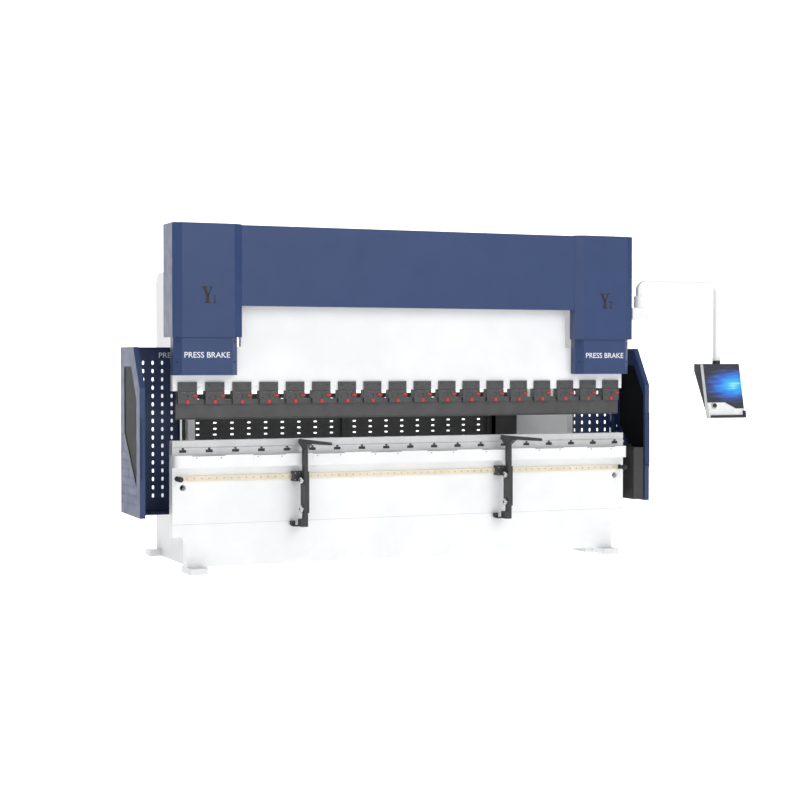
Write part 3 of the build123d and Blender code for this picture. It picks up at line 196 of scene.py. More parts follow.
# ---- Finishes -----------------------------------------------------------------------------
def powder_coat(name, colour, rough=0.42, dust=0.06, peel=420.0, coat=0.15):
    """Sprayed and baked paint: orange peel, cloudy gloss, faint dust towards the floor."""
    made = Shader(name, colour, rough, coat=coat)
    clouds = made.noise(2.6, 4.0)
    base = made.mix(made.level(clouds, 0.35, 0.65, 0.0, 1.0), shade(colour, 0.965),
                    shade(colour, 1.03))
    low = made.level(made.axis(2), 0.0, 0.28, 1.0, 0.0)
    patches = made.level(made.noise(14.0, 5.0), 0.38, 0.7, 0.0, dust)
    grime = made.node("ShaderNodeMath")
    grime.operation = "MULTIPLY"
    made.link(low, grime.inputs[0])
    made.link(patches, grime.inputs[1])
    made.colour(made.mix(grime.outputs[0], base, srgb(120, 114, 104)))
    made.rough(made.level(made.noise(9.0, 4.0), 0.3, 0.7, rough - 0.07, rough + 0.07))
    made.bump(made.noise(peel, 2.0), 0.12, 0.0004)
    return made.bump(made.noise(3.0, 2.0), 0.10, 0.002).material


def ground_steel(name, colour, rough=0.34, along=(3.0, 420.0, 420.0)):
    """Surface-ground steel with fine lines along the part and faint stains."""
    made = Shader(name, colour, rough, metallic=0.35)
    lines = made.noise(1.0, 3.0, vector=made.stretched(along))
    stain = made.noise(7.0, 5.0)
    base = made.mix(made.level(stain, 0.35, 0.7, 0.0, 1.0), colour, shade(colour, 0.86))
    made.colour(made.mix(made.level(lines, 0.35, 0.65, 0.0, 0.35), base, shade(colour, 0.72)))
    made.rough(made.level(lines, 0.3, 0.7, rough - 0.08, rough + 0.12))
    return made.bump(lines, 0.18, 0.0003).material


def blackened_steel(name, colour, rough=0.46):
    """Blackened tool steel: fine milling marks, oily patches and rubbed lighter spots."""
    made = Shader(name, colour, rough, metallic=0.35)
    marks = made.noise(1.0, 2.0, vector=made.stretched((30.0, 300.0, 700.0)))
    oil = made.noise(11.0, 5.0)
    rubbed = made.level(made.noise(55.0, 6.0, 0.7), 0.62, 0.78, 0.0, 0.35)
    base = made.mix(made.level(oil, 0.3, 0.7, 0.0, 1.0), shade(colour, 0.85), shade(colour, 1.12))
    made.colour(made.mix(rubbed, base, shade(colour, 1.7)))
    made.rough(made.level(oil, 0.3, 0.7, rough - 0.1, rough + 0.1))
    return made.bump(marks, 0.14, 0.0004).material


def bright_metal(name, colour, rough=0.2, rings=260.0):
    """Turned bright metal with tool rings."""
    made = Shader(name, colour, rough, metallic=1.0)
    wave = made.node("ShaderNodeTexWave", Scale=rings, Distortion=0.6, Detail=1.0)
    wave.bands_direction = "Z"
    made.link(made.place, wave.inputs["Vector"])
    spots = made.noise(60.0, 4.0)
    made.colour(made.mix(made.level(spots, 0.4, 0.7, 0.0, 0.4), colour, shade(colour, 0.8)))
    made.rough(made.level(spots, 0.3, 0.7, rough - 0.05, rough + 0.12))
    return made.bump(wave.outputs["Fac"], 0.06, 0.0002).material


def moulded_plastic(name, colour, rough=0.5, grain=1500.0):
    """Textured moulded plastic with a fine spark-eroded grain."""
    made = Shader(name, colour, rough)
    grains = made.voronoi(grain)
    tone = made.noise(18.0, 4.0)
    made.colour(made.mix(made.level(tone, 0.35, 0.65, 0.0, 1.0), shade(colour, 0.94),
                         shade(colour, 1.06)))
    made.rough(made.level(tone, 0.3, 0.7, rough - 0.06, rough + 0.06))
    return made.bump(grains, 0.16, 0.0003).material


def tinted_pane(name):
    """Dark polycarbonate: glossy, slightly wavy, with hairline wiping scratches."""
    colour = srgb(26, 26, 27)
    made = Shader(name, colour, 0.45)
    made.bsdf.inputs["Specular IOR Level"].default_value = 0.04
    streaks = made.noise(1.0, 4.0, vector=made.stretched((8.0, 260.0, 12.0)))
    made.colour(made.mix(made.level(streaks, 0.45, 0.8, 0.0, 0.3), colour, shade(colour, 1.5)))
    made.rough(made.level(streaks, 0.4, 0.75, 0.36, 0.5))
    return made.bump(made.noise(2.0, 1.0), 0.08, 0.002).material


def rubber(name):
    """Matt black rubber with mould speckle."""
    colour = srgb(30, 30, 31)
    made = Shader(name, colour, 0.75)
    speck = made.noise(700.0, 3.0)
    made.colour(made.mix(speck, shade(colour, 0.8), shade(colour, 1.3)))
    return made.bump(speck, 0.2, 0.0003).material


def printed_ink(name, colour):
    """Screen-printed ink with slightly uneven cover."""
    made = Shader(name, colour, 0.5)
    cover = made.noise(90.0, 4.0)
    made.colour(made.mix(made.level(cover, 0.4, 0.8, 0.0, 0.3), colour, shade(colour, 0.88)))
    return made.bump(cover, 0.05, 0.0002).material


# ---- Mesh helpers -------------------------------------------------------------------------
def finish_piece(name, bm, body, material, slot, smooth_angle=35.0):
    """Turns a bmesh into a piece that rides on a body."""
    bmesh.ops.recalc_face_normals(bm, faces=bm.faces)
    mesh = bpy.data.meshes.new(name)
    bm.to_mesh(mesh)
    bm.free()
    mesh.shade_smooth()
    mesh.set_sharp_from_angle(angle=math.radians(smooth_angle))
    piece = bpy.data.objects.new(name, mesh)
    bpy.context.scene.collection.objects.link(piece)
    mesh.materials.append(material)
    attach(piece, body)
    return piece


def facing(centre, normal):
    """A matrix whose Z axis is the normal, at the centre."""
    turn = Vector(normal).to_track_quat("Z", "Y").to_matrix().to_4x4()
    return Matrix.Translation(Vector(centre)) @ turn


def lathe(bm, profile, place, segments=20):
    """Spins (radius, height) points round the placing matrix's Z axis."""
    rings = []
    for radius, height in profile:
        if radius <= 0:
            rings.append([bm.verts.new(place @ Vector((0, 0, height)))])
            continue
        ring = []
        for index in range(segments):
            angle = 2 * math.pi * index / segments
            point = Vector((radius * math.cos(angle), radius * math.sin(angle), height))
            ring.append(bm.verts.new(place @ point))
        rings.append(ring)
    for lower, upper in zip(rings, rings[1:]):
        for index in range(segments):
            following = (index + 1) % segments
            if len(lower) == 1:
                bm.faces.new((lower[0], upper[index], upper[following]))
            elif len(upper) == 1:
                bm.faces.new((lower[index], lower[following], upper[0]))
            else:
                bm.faces.new((lower[index], lower[following], upper[following], upper[index]))
    return rings


def cap_screw(bm, centre, normal, radius, height):
    """Socket-head screw: chamfered head with a six-sided socket."""
    place = facing(centre, normal)
    lathe(bm, [(0, 0), (radius, 0), (radius, height * 0.82), (radius * 0.88, height),
               (radius * 0.56, height)], place, 18)
    socket = [(radius * 0.56, height), (radius * 0.5, height * 0.4), (0, height * 0.4)]
    lathe(bm, socket, place, 6)
    flat = facing(centre, normal) @ Matrix.Translation((0, 0, height))
    outer = [flat @ Vector((radius * 0.57 * math.cos(a), radius * 0.57 * math.sin(a), 0))
             for a in (2 * math.pi * i / 18 for i in range(18))]
    inner = [flat @ Vector((radius * 0.5 * math.cos(a), radius * 0.5 * math.sin(a), -height * 0.05))
             for a in (2 * math.pi * i / 18 for i in range(18))]
    ring_out = [bm.verts.new(p) for p in outer]
    ring_in = [bm.verts.new(p) for p in inner]
    for index in range(18):
        after = (index + 1) % 18
        bm.faces.new((ring_out[index], ring_out[after], ring_in[after], ring_in[index]))


def hex_head(bm, centre, normal, radius, height):
    """Hexagon bolt head on a round washer."""
    place = facing(centre, normal)
    lathe(bm, [(0, 0), (radius * 1.25, 0), (radius * 1.25, height * 0.2), (0, height * 0.2)],
          place, 20)
    lathe(bm, [(0, height * 0.2), (radius, height * 0.2), (radius, height * 0.85),
               (radius * 0.86, height), (0, height)], place, 6)


def screws(name, body, spots, radius, height, material, slot, kind=cap_screw):
    """One piece with a screw at each (centre, normal)."""
    bm = bmesh.new()
    for centre, normal in spots:
        kind(bm, centre, normal, radius, height)
    return finish_piece(name, bm, body, material, slot)


def slab(bm, low, high):
    """An axis-aligned block between two corners."""
    centre = (Vector(low) + Vector(high)) / 2
    size = Vector(high) - Vector(low)
    matrix = Matrix.Translation(centre) @ Matrix.Diagonal((*size, 1))
    return bmesh.ops.create_cube(bm, size=1.0, matrix=matrix)["verts"]


def soften(bm, width, segments=2, limit=25.0):
    """Rounds every edge that is sharper than the limit."""
    sharp = [edge for edge in bm.edges
             if len(edge.link_faces) == 2 and edge.calc_face_angle(0) > math.radians(limit)]
    bmesh.ops.bevel(bm, geom=sharp, offset=width, segments=segments, profile=0.5,
                    affect="EDGES", clamp_overlap=True)


def dress(node, material, edge=0.0, segments=2):
    """Gives a CAD node its finish and, where edge isn't 0, rounded edges of that width."""
    target = frame["nodes"][node]
    mesh = target.data
    mesh.materials.clear()
    mesh.materials.append(material)
    if edge == 0:
        return
    weld = target.modifiers.new("weld", "WELD")
    weld.merge_threshold = 1e-6
    flat = target.modifiers.new("flat", "DECIMATE")
    flat.decimate_type = "DISSOLVE"
    flat.angle_limit = math.radians(0.4)
    bevel = target.modifiers.new("edges", "BEVEL")
    bevel.width = edge
    bevel.segments = segments
    bevel.limit_method = "ANGLE"
    bevel.angle_limit = math.radians(32)
    bevel.use_clamp_overlap = True
    crisp = target.modifiers.new("crisp", "EDGE_SPLIT")
    crisp.split_angle = math.radians(36)
    weighted = target.modifiers.new("weighted", "WEIGHTED_NORMAL")
    weighted.keep_sharp = True


# ---- Lettering ----------------------------------------------------------------------------
def lettering(name, text, centre, width, height, body, material, slot, bold=0.004):
    """Flat printed words on a surface that faces the front."""
    curve = bpy.data.curves.new(name, "FONT")
    curve.body = text
    curve.align_x = "CENTER"
    curve.align_y = "CENTER"
    curve.extrude = 0.0002
    curve.offset = bold
    piece = bpy.data.objects.new(name, curve)
    bpy.context.scene.collection.objects.link(piece)
    bpy.context.view_layer.update()
    mesh = bpy.data.meshes.new_from_object(piece.evaluated_get(
        bpy.context.evaluated_depsgraph_get()))
    bpy.data.objects.remove(piece)
    xs = [vert.co.x for vert in mesh.vertices]
    ys = [vert.co.y for vert in mesh.vertices]
    middle = Vector(((min(xs) + max(xs)) / 2, (min(ys) + max(ys)) / 2, 0))
    scale = Matrix.Diagonal((width / (max(xs) - min(xs)), height / (max(ys) - min(ys)), 1, 1))
    upright = Matrix.Rotation(math.radians(90), 4, "X")
    mesh.transform(Matrix.Translation(centre) @ upright @ scale @ Matrix.Translation(-middle))
    mesh.name = name
    mesh.materials.clear()
    mesh.materials.append(material)
    piece = bpy.data.objects.new(name, mesh)
    bpy.context.scene.collection.objects.link(piece)
    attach(piece, body)
    return piece


def serif_y(bm, x, y, z, width, height):
    """A capital Y with serifs, drawn as flat bars that face the front."""
    def bar(points):
        corners = [Vector((x + px * width, y, z + pz * height)) for px, pz in points]
        front = [bm.verts.new(p) for p in corners]
        back = [bm.verts.new(p + Vector((0, 0.0004, 0))) for p in corners]
        bm.faces.new(front)
        bm.faces.new(list(reversed(back)))
        for index in range(len(points)):
            after = (index + 1) % len(points)
            bm.faces.new((front[index], front[after], back[after], back[index]))
    bar([(-0.40, 0.96), (-0.14, 0.96), (0.13, 0.44), (-0.13, 0.44)])
    bar([(0.24, 0.96), (0.37, 0.96), (0.12, 0.47), (0.01, 0.47)])
    bar([(-0.13, 0.03), (0.13, 0.03), (0.13, 0.46), (-0.13, 0.46)])
    bar([(-0.50, 0.95), (-0.04, 0.95), (-0.04, 1.0), (-0.50, 1.0)])
    bar([(0.12, 0.95), (0.50, 0.95), (0.50, 1.0), (0.12, 1.0)])
    bar([(-0.26, 0.0), (0.26, 0.0), (0.26, 0.05), (-0.26, 0.05)])


# ---- Places taken from the frame ----------------------------------------------------------
FRONT_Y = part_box("bed_plate")[0].y
PROUD = 0.0003                      # printed ink over its surface
CLAMP_COUNT = 18
CLAMP_WIDTH = 0.155
ACCESS_COUNT = 8
ACCESS_WIDTH = 0.265                # one access plate
BLOCK = 0.25                        # width of a cylinder
LID = 0.008                         # thickness of the tank's lid
FOLD_Z = 0.3795                     # bottom of the painted shade line at the bed's fold
FOLD_SHADE_HEIGHT = 0.003


def spread(first, last, count):
    """Evenly spaced values from first to last."""
    return [first + (last - first) * index / (count - 1) for index in range(count)]


def clamp_centres():
    """Middle of each tool clamp along X."""
    low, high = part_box("clamp_plates")
    return spread(low.x + CLAMP_WIDTH / 2, high.x - CLAMP_WIDTH / 2, CLAMP_COUNT)


# ---- Finishes for every CAD node ----------------------------------------------------------
def make_finishes():
    """Material and record slot for each kind of surface."""
    return {
        "white": (powder_coat("white_powder_coat", WHITE, 0.38), "white_paint"),
        "frame": (powder_coat("frame_powder_coat", FRAME_WHITE, 0.42), "white_paint"),
        "blue": (powder_coat("blue_powder_coat", BLUE, 0.36, dust=0.0, coat=0.0), "blue_paint"),
        "guard": (powder_coat("guard_powder_coat", GUARD_BLUE, 0.4, dust=0.0, coat=0.0), "blue_paint"),
        "dark": (powder_coat("dark_powder_coat", DARK, 0.5, dust=0.03, coat=0.0), "dark_paint"),
        "grey": (powder_coat("grey_powder_coat", srgb(196, 198, 200), 0.42), "grey_paint"),
        "steel": (ground_steel("ground_table_steel", STEEL), "machined_steel"),
        "rail": (ground_steel("oiled_rail_steel", CREAM, 0.3), "rail_steel"),
        "tool": (blackened_steel("blackened_tool_steel", TOOL), "tool_steel"),
        "chrome": (bright_metal("chromed_rod", srgb(222, 224, 228), 0.08), "chrome_rod"),
        "silver": (bright_metal("turned_aluminium", SILVER, 0.3), "silver_metal"),
        "zinc": (bright_metal("zinc_plated_steel", srgb(186, 188, 190), 0.32, 90.0), "machined_steel"),
        "bronze": (bright_metal("bronze_liner", srgb(176, 146, 92), 0.35, 120.0), "cast_bronze"),
        "black": (moulded_plastic("black_moulding", srgb(40, 40, 42), 0.5), "black_plastic"),
        "bezel": (moulded_plastic("white_moulding", srgb(236, 237, 238), 0.45), "white_plastic"),
        "red": (moulded_plastic("red_moulding", RED, 0.42), "red_plastic"),
        "rubber": (rubber("black_rubber"), "black_plastic"),
        "pane": (tinted_pane("tinted_polycarbonate"), "tinted_pane"),
        "ink": (printed_ink("dark_lettering", INK), "black_plastic"),
        "letters": (printed_ink("white_lettering", LETTER_WHITE), "white_plastic"),
        "fastener": (blackened_steel("blackened_fastener", srgb(58, 58, 60), 0.4), "tool_steel"),
    }


def screen_material():
    """Lit display: dark desktop with a soft glow and faint rows of interface tiles."""
    low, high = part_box("pendant_screen")
    made = Shader("lit_display", srgb(20, 21, 24), 0.3)
    glow_centre = (low.x + 0.78 * (high.x - low.x), 0, low.z + 0.52 * (high.z - low.z))
    shift = made.node("ShaderNodeMapping", Location=tuple(-v for v in glow_centre))
    made.link(made.place, shift.inputs["Vector"])
    squeeze = made.node("ShaderNodeMapping", Scale=(3.1, 0.0, 6.2))
    made.link(shift.outputs["Vector"], squeeze.inputs["Vector"])
    length = made.node("ShaderNodeVectorMath")
    length.operation = "LENGTH"
    made.link(squeeze.outputs["Vector"], length.inputs[0])
    streaks = made.noise(1.0, 2.0, vector=made.stretched((6.0, 0.0, 46.0)))
    warped = made.node("ShaderNodeMath")
    warped.operation = "ADD"
    made.link(length.outputs["Value"], warped.inputs[0])
    made.link(made.level(streaks, 0.3, 0.7, -0.16, 0.16), warped.inputs[1])
    glow = made.ramp(warped.outputs[0], [(0.0, srgb(180, 250, 255)), (0.2, srgb(70, 205, 255)),
                                         (0.48, srgb(60, 130, 245)), (0.78, srgb(66, 82, 140)),
                                         (1.0, srgb(58, 60, 66))])
    tiles = made.node("ShaderNodeTexBrick", Scale=22.0, Mortar_Size=0.06, Bias=-1.0)
    tiles.inputs["Color1"].default_value = (1, 1, 1, 1)
    tiles.inputs["Color2"].default_value = (0.94, 0.94, 0.94, 1)
    tiles.inputs["Mortar"].default_value = (0.86, 0.86, 0.86, 1)
    upright = made.node("ShaderNodeMapping", Rotation=(math.radians(-90), 0, 0))
    made.link(made.place, upright.inputs["Vector"])
    made.link(upright.outputs["Vector"], tiles.inputs["Vector"])
    blend = made.tree.nodes.new("ShaderNodeMix")
    blend.data_type = "RGBA"
    blend.blend_type = "MULTIPLY"
    blend.inputs[0].default_value = 0.6
    made.link(glow, blend.inputs[6])
    made.link(tiles.outputs["Color"], blend.inputs[7])
    made.link(blend.outputs[2], made.bsdf.inputs["Emission Color"])
    made.bsdf.inputs["Emission Strength"].default_value = 0.95
    made.bsdf.inputs["Specular IOR Level"].default_value = 0.2
    made.bsdf.inputs["Base Color"].default_value = srgb(30, 31, 34)
    return made.material


def dress_frame(paint):
    """Finishes and edge rounding of all the CAD nodes."""
    plan = {
        "frame": {"left_side_frame": 0.003, "right_side_frame": 0.003, "tie_beams": 0.003},
        "white": {"bed_plate": 0.0025, "front_band": 0.001, "access_plates": 0.0008,
                  "ram_plate": 0.0015, "arm_mount": 0.003, "pendant_arm": 0.0},
        "steel": {"table_rail": 0.0012, "lower_die": 0.0008, "ram_guide_rails": 0.0015,
                  "backgauge_beam": 0.0015, "hinge_pins": 0.0008},
        "rail": {"support_rail": 0.0006},
        "grey": {"oil_tank": 0.0015, "pump_motor": 0.004, "backgauge_guides": 0.002,
                 "backgauge_carriage": 0.003},
        "silver": {"valve_manifolds": 0.003, "hydraulic_pipes": 0.0, "left_upper_knob": 0.002,
                   "left_lower_knob": 0.002, "right_upper_knob": 0.002,
                   "right_lower_knob": 0.002},
        "blue": {"cylinder_covers": 0.0012, "beam_cover": 0.0012, "ram_covers": 0.0012},
        "guard": {"guard_panels": 0.0, "left_door": 0.001, "right_door": 0.001,
                  "left_door_handle": 0.0012, "right_door_handle": 0.0012},
        "pane": {"left_door_window": 0.001, "right_door_window": 0.001},
        "dark": {"cylinders": 0.003, "junction_box": 0.0015, "encoder_brackets": 0.0015,
                 "rear_guard_frame": 0.0015, "left_rear_door": 0.0, "right_rear_door": 0.0,
                 "left_support_carriage": 0.0015, "right_support_carriage": 0.0015,
                 "left_support_post": 0.002, "right_support_post": 0.002},
        "tool": {"clamp_bodies": 0.0012, "clamp_plates": 0.0008, "punch": 0.001,
                 "left_finger": 0.0012, "right_finger": 0.0012},
        "chrome": {"piston_rods": 0.0015},
        "bronze": {"ram_guide_shoes": 0.002},
        "red": {"clamp_locks": 0.0008, "clamp_buttons": 0.0},
        "rubber": {"rail_end_stops": 0.003},
        "black": {"pendant_housing": 0.003, "pendant_handle": 0.002, "emergency_stop": 0.001},
        "bezel": {"pendant_bezel": 0.0015},
    }
    for finish, nodes in plan.items():
        for node, edge in nodes.items():
            dress(node, paint[finish][0], edge)
    dress("pendant_screen", screen_material(), 0.0004)


# ---- Covers -------------------------------------------------------------------------------
COVER_WIDTH = 0.512                 # one ram cover, between its outer faces
CHAMFER = 0.027                     # from a cover's corner to the middle of its cut


def cover_screws(paint):
    """Four dark screws on the cut corners of each ram cover."""
    low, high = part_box("ram_covers")
    spots = []
    for side in SIDES.values():
        outer = side * (high.x - CHAMFER)
        inner = side * (high.x - COVER_WIDTH + CHAMFER)
        for z in (low.z + 0.103, low.z + 0.257):
            y = low.y + CHAMFER
            spots.append(((outer, y, z), (side, -1, 0)))
            spots.append(((inner, y, z), (-side, -1, 0)))
    screws("ram_cover_screws", "ram", spots, 0.0062, 0.005, *paint["fastener"])


def cover_lettering(paint):
    """Words on the ram covers, and the two axis names on the cylinder covers."""
    low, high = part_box("ram_covers")
    letter_z, text_width, text_height = low.z + 0.157, 0.363, 0.044
    for name, side in SIDES.items():
        x = side * (high.x - COVER_WIDTH / 2)
        lettering(f"{name}_machine_name", "PRESS BRAKE", (x, low.y - PROUD, letter_z), text_width,
                  text_height, "ram", *paint["letters"])
    low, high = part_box("cylinder_covers")
    half_width = 0.278
    y_size, digit_size, base_z = (0.1, 0.127), (0.026, 0.062), low.z + 0.262
    for name, side, digit in (("left", -1, "1"), ("right", 1, "2")):
        x = side * (high.x - half_width)
        bm = bmesh.new()
        serif_y(bm, x - 0.008, low.y - PROUD, base_z, *y_size)
        finish_piece(f"{name}_axis_letter", bm, "root", *paint["ink"])
        if digit == "1":
            serif_one(f"{name}_axis_digit", (x + 0.036, low.y - PROUD, base_z), digit_size, paint)
        else:
            lettering(f"{name}_axis_digit", digit,
                      (x + 0.05, low.y - PROUD, base_z + digit_size[1] / 2),
                      digit_size[0] * 1.5, digit_size[1], "root", *paint["ink"])
    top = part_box("guard_panels")[1].z
    lettering("left_guard_name", "PRESS", (-1.868, FRONT_Y + 0.58 - PROUD, top - 0.063), 0.158,
              text_height, "root", *paint["letters"])


def serif_one(name, corner, size, paint):
    """A figure 1 with a flag and a foot, drawn as flat bars that face the front."""
    x, y, z = corner
    width, height = size
    stem, foot = width * 0.34, height * 0.08
    bm = bmesh.new()
    left = x + (width - stem) / 2
    depth = 2 * PROUD
    slab(bm, (left, y, z), (left + stem, y + depth, z + height))
    slab(bm, (x, y, z), (x + width, y + depth, z + foot))
    slab(bm, (x + width * 0.08, y, z + height * 0.8), (left, y + depth, z + height * 0.88))
    finish_piece(name, bm, "root", *paint["ink"])


def cover_rims(paint):
    """Fixing screws of the beam cover and the cylinder covers."""
    low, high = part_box("beam_cover")
    spots = [((x, low.y, high.z - 0.02), (0, -1, 0)) for x in spread(low.x + 0.06, high.x - 0.06, 7)]
    screws("beam_cover_screws", "root", spots, 0.005, 0.0022, *paint["blue"])
    low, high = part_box("cylinder_covers")
    top = [((side * (high.x - 0.03 - 0.22 * step), y, high.z), (0, 0, 1))
           for side in SIDES.values() for step in range(3) for y in (low.y + 0.06, high.y - 0.03)]
    screws("cylinder_cover_screws", "root", top, 0.006, 0.0035, *paint["fastener"])


# ---- Clamps -------------------------------------------------------------------------------
def clamp_details(paint):
    """Screws, ribs and pins of the quick tool clamps, and a dark L-mark painted as the shade of each
    plate's slot.
    """
    body_low, body_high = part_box("clamp_bodies")
    plate_low, plate_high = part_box("clamp_plates")
    lock_low, lock_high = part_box("clamp_locks")
    button_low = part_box("clamp_buttons")[0]
    upper, lower, pins = [], [], []
    ribs, slot_shade_marks, arrows = bmesh.new(), bmesh.new(), bmesh.new()
    front = plate_low.y
    for x in clamp_centres():
        upper += [((x + dx, body_low.y + 0.004, body_high.z - 0.025), (0, -1, 0))
                  for dx in (-0.052, 0.052)]
        lower += [((x + dx, front + 0.006, plate_low.z + 0.0475), (0, -1, 0))
                  for dx in (-0.049, 0.002, 0.048)]
        pins += [((x + dx, front + 0.003, plate_high.z - 0.009), (0, -1, 0))
                 for dx in (-0.042, -0.027, 0.035, 0.05)]
        for step in range(6):
            rib_x = x + 0.043 + step * 0.0062
            slab(ribs, (rib_x, lock_low.y - 0.0015, lock_low.z + 0.002),
                 (rib_x + 0.003, lock_low.y + 0.001, lock_high.z - 0.002))
        # Flat dark L on each plate's front: painted shade for the slot's hollow.
        corner = plate_high.z - 0.028
        slab(slot_shade_marks, (x - 0.012, front - PROUD, corner - 0.004), (x + 0.008, front + 0.001, corner))
        slab(slot_shade_marks, (x + 0.003, front - PROUD, corner - 0.018),
             (x + 0.008, front + 0.001, corner - 0.004))
        slab(arrows, (x - 0.0075, button_low.y - 0.0008, button_low.z + 0.011),
             (x + 0.0075, button_low.y + 0.001, button_low.z + 0.015))
    soften(ribs, 0.0005)
    screws("clamp_fixing_screws", "ram", upper, 0.0048, 0.0035, *paint["fastener"])
    screws("clamp_plate_screws", "ram", lower, 0.0038, 0.0045, *paint["fastener"])
    screws("clamp_dowels", "ram", pins, 0.0021, 0.0022, *paint["zinc"])
    finish_piece("clamp_lock_ribs", ribs, "clamp_locks", *paint["red"])
    finish_piece("clamp_plate_slot_shade", slot_shade_marks, "ram", *paint["rubber"])
    finish_piece("clamp_button_grips", arrows, "clamp_buttons", *paint["red"])


# ---- Table and front ----------------------------------------------------------------------
def table_details(paint):
    """Screws of the access plates, the rail's bolts and the end stops' caps."""
    low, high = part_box("access_plates")
    spots = []
    for x in spread(low.x + ACCESS_WIDTH / 2, high.x - ACCESS_WIDTH / 2, ACCESS_COUNT):
        spots += [((x + dx, low.y, high.z - 0.014), (0, -1, 0)) for dx in (-0.098, 0.098)]
    screws("access_plate_screws", "root", spots, 0.0042, 0.0018, *paint["fastener"])
    low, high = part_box("support_rail")
    pitch, inset, recess = 0.06, 0.02, 0.005
    count = int((high.x - low.x - 2 * inset) / pitch)
    spots = [(((index - count / 2) * pitch, low.y + recess, (low.z + high.z) / 2), (0, -1, 0))
             for index in range(count + 1)]
    screws("support_rail_bolts", "root", spots, 0.0048, 0.0036, *paint["zinc"])
    low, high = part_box("rail_end_stops")
    bm = bmesh.new()
    radius = (high.z - low.z) / 2
    for side in SIDES.values():
        place = facing((side * (high.x - radius), low.y, (low.z + high.z) / 2), (0, -1, 0))
        lathe(bm, [(0, -0.002), (radius * 0.55, -0.002), (radius * 0.55, 0.0012),
                   (radius * 0.38, 0.002), (0, 0.002)], place, 24)
    finish_piece("end_stop_caps", bm, "root", *paint["fastener"])
    low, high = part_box("lower_die")
    bm = bmesh.new()
    for x in spread(low.x + 0.5, high.x - 0.5, 7):
        slab(bm, (x - 0.0003, low.y - 0.0002, low.z + 0.0065), (x + 0.0003, low.y + 0.001,
                                                               high.z - 0.0002))
    finish_piece("die_segment_seams", bm, "root", *paint["fastener"])
    front_lines(paint)


def front_lines(paint):
    """Painted shadow lines over the access plates, a painted shade line at the bed's fold and dark
    blocks painted as shade in each T-slot.
    """
    low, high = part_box("access_plates")
    # Dark strip on the top edge of each access plate: a painted shadow line.
    plate_shadow_strips = bmesh.new()
    half = ACCESS_WIDTH / 2
    for x in spread(low.x + half, high.x - half, ACCESS_COUNT):
        slab(plate_shadow_strips, (x - half, low.y + 0.0002, high.z), (x + half, high.y, high.z + 0.0035))
    finish_piece("access_plate_shadow_strips", plate_shadow_strips, "root", *paint["rubber"])
    bed_low, bed_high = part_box("bed_plate")
    # Grey strip across the bed's front at the fold: painted shade standing in for the crease.
    fold = bmesh.new()
    slab(fold, (bed_low.x + 0.004, bed_low.y - PROUD, FOLD_Z),
         (bed_high.x - 0.004, bed_low.y + 0.001, FOLD_Z + FOLD_SHADE_HEIGHT))
    finish_piece("bed_fold_shade_line", fold, "root", *paint["grey"])
    # Dark blocks set into each T-slot opening: painted shade for the slot's hollow.
    heads = bmesh.new()
    for opening in frame["record"]["physics"]["openings"]:
        if opening["name"].startswith("tee_slot"):
            (x0, y0, z0), (x1, _, z1) = opening["box_m"]
            slab(heads, (x0 + 0.002, y0 + 0.004, z0 + 0.001), (x1 - 0.002, y0 + 0.024, z1 - 0.001))
    soften(heads, 0.001)
    finish_piece("tee_bolt_heads", heads, "root", *paint["fastener"])


# ---- Frame --------------------------------------------------------------------------------
def frame_bolts(paint):
    """Hexagon bolts of the tie beams, and a blank plate on the right side frame."""
    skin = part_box("arm_mount")[0].x
    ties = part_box("tie_beams")
    spots = []
    for side in SIDES.values():
        for y in (0.275 + FRONT_Y, 0.85 + FRONT_Y):
            for dy in (-0.03, 0.03):
                for z in spread(ties[1].z - 0.2, ties[1].z - 0.05, 3):
                    spots.append(((side * skin, y + dy, z), (side, 0, 0)))
    screws("frame_tie_bolts", "root", spots, 0.011, 0.009, *paint["zinc"],
           hex_head)
    plate = bmesh.new()
    slab(plate, (skin, 0.95 + FRONT_Y, 1.55), (skin + 0.0012, 1.13 + FRONT_Y, 1.66))
    soften(plate, 0.0004)
    finish_piece("data_plate", plate, "root", *paint["silver"])
    rivets = [((skin + 0.0012, y + FRONT_Y, z), (1, 0, 0)) for y in (0.96, 1.12)
              for z in (1.56, 1.65)]
    screws("data_plate_rivets", "root", rivets, 0.003, 0.0012, *paint["zinc"])


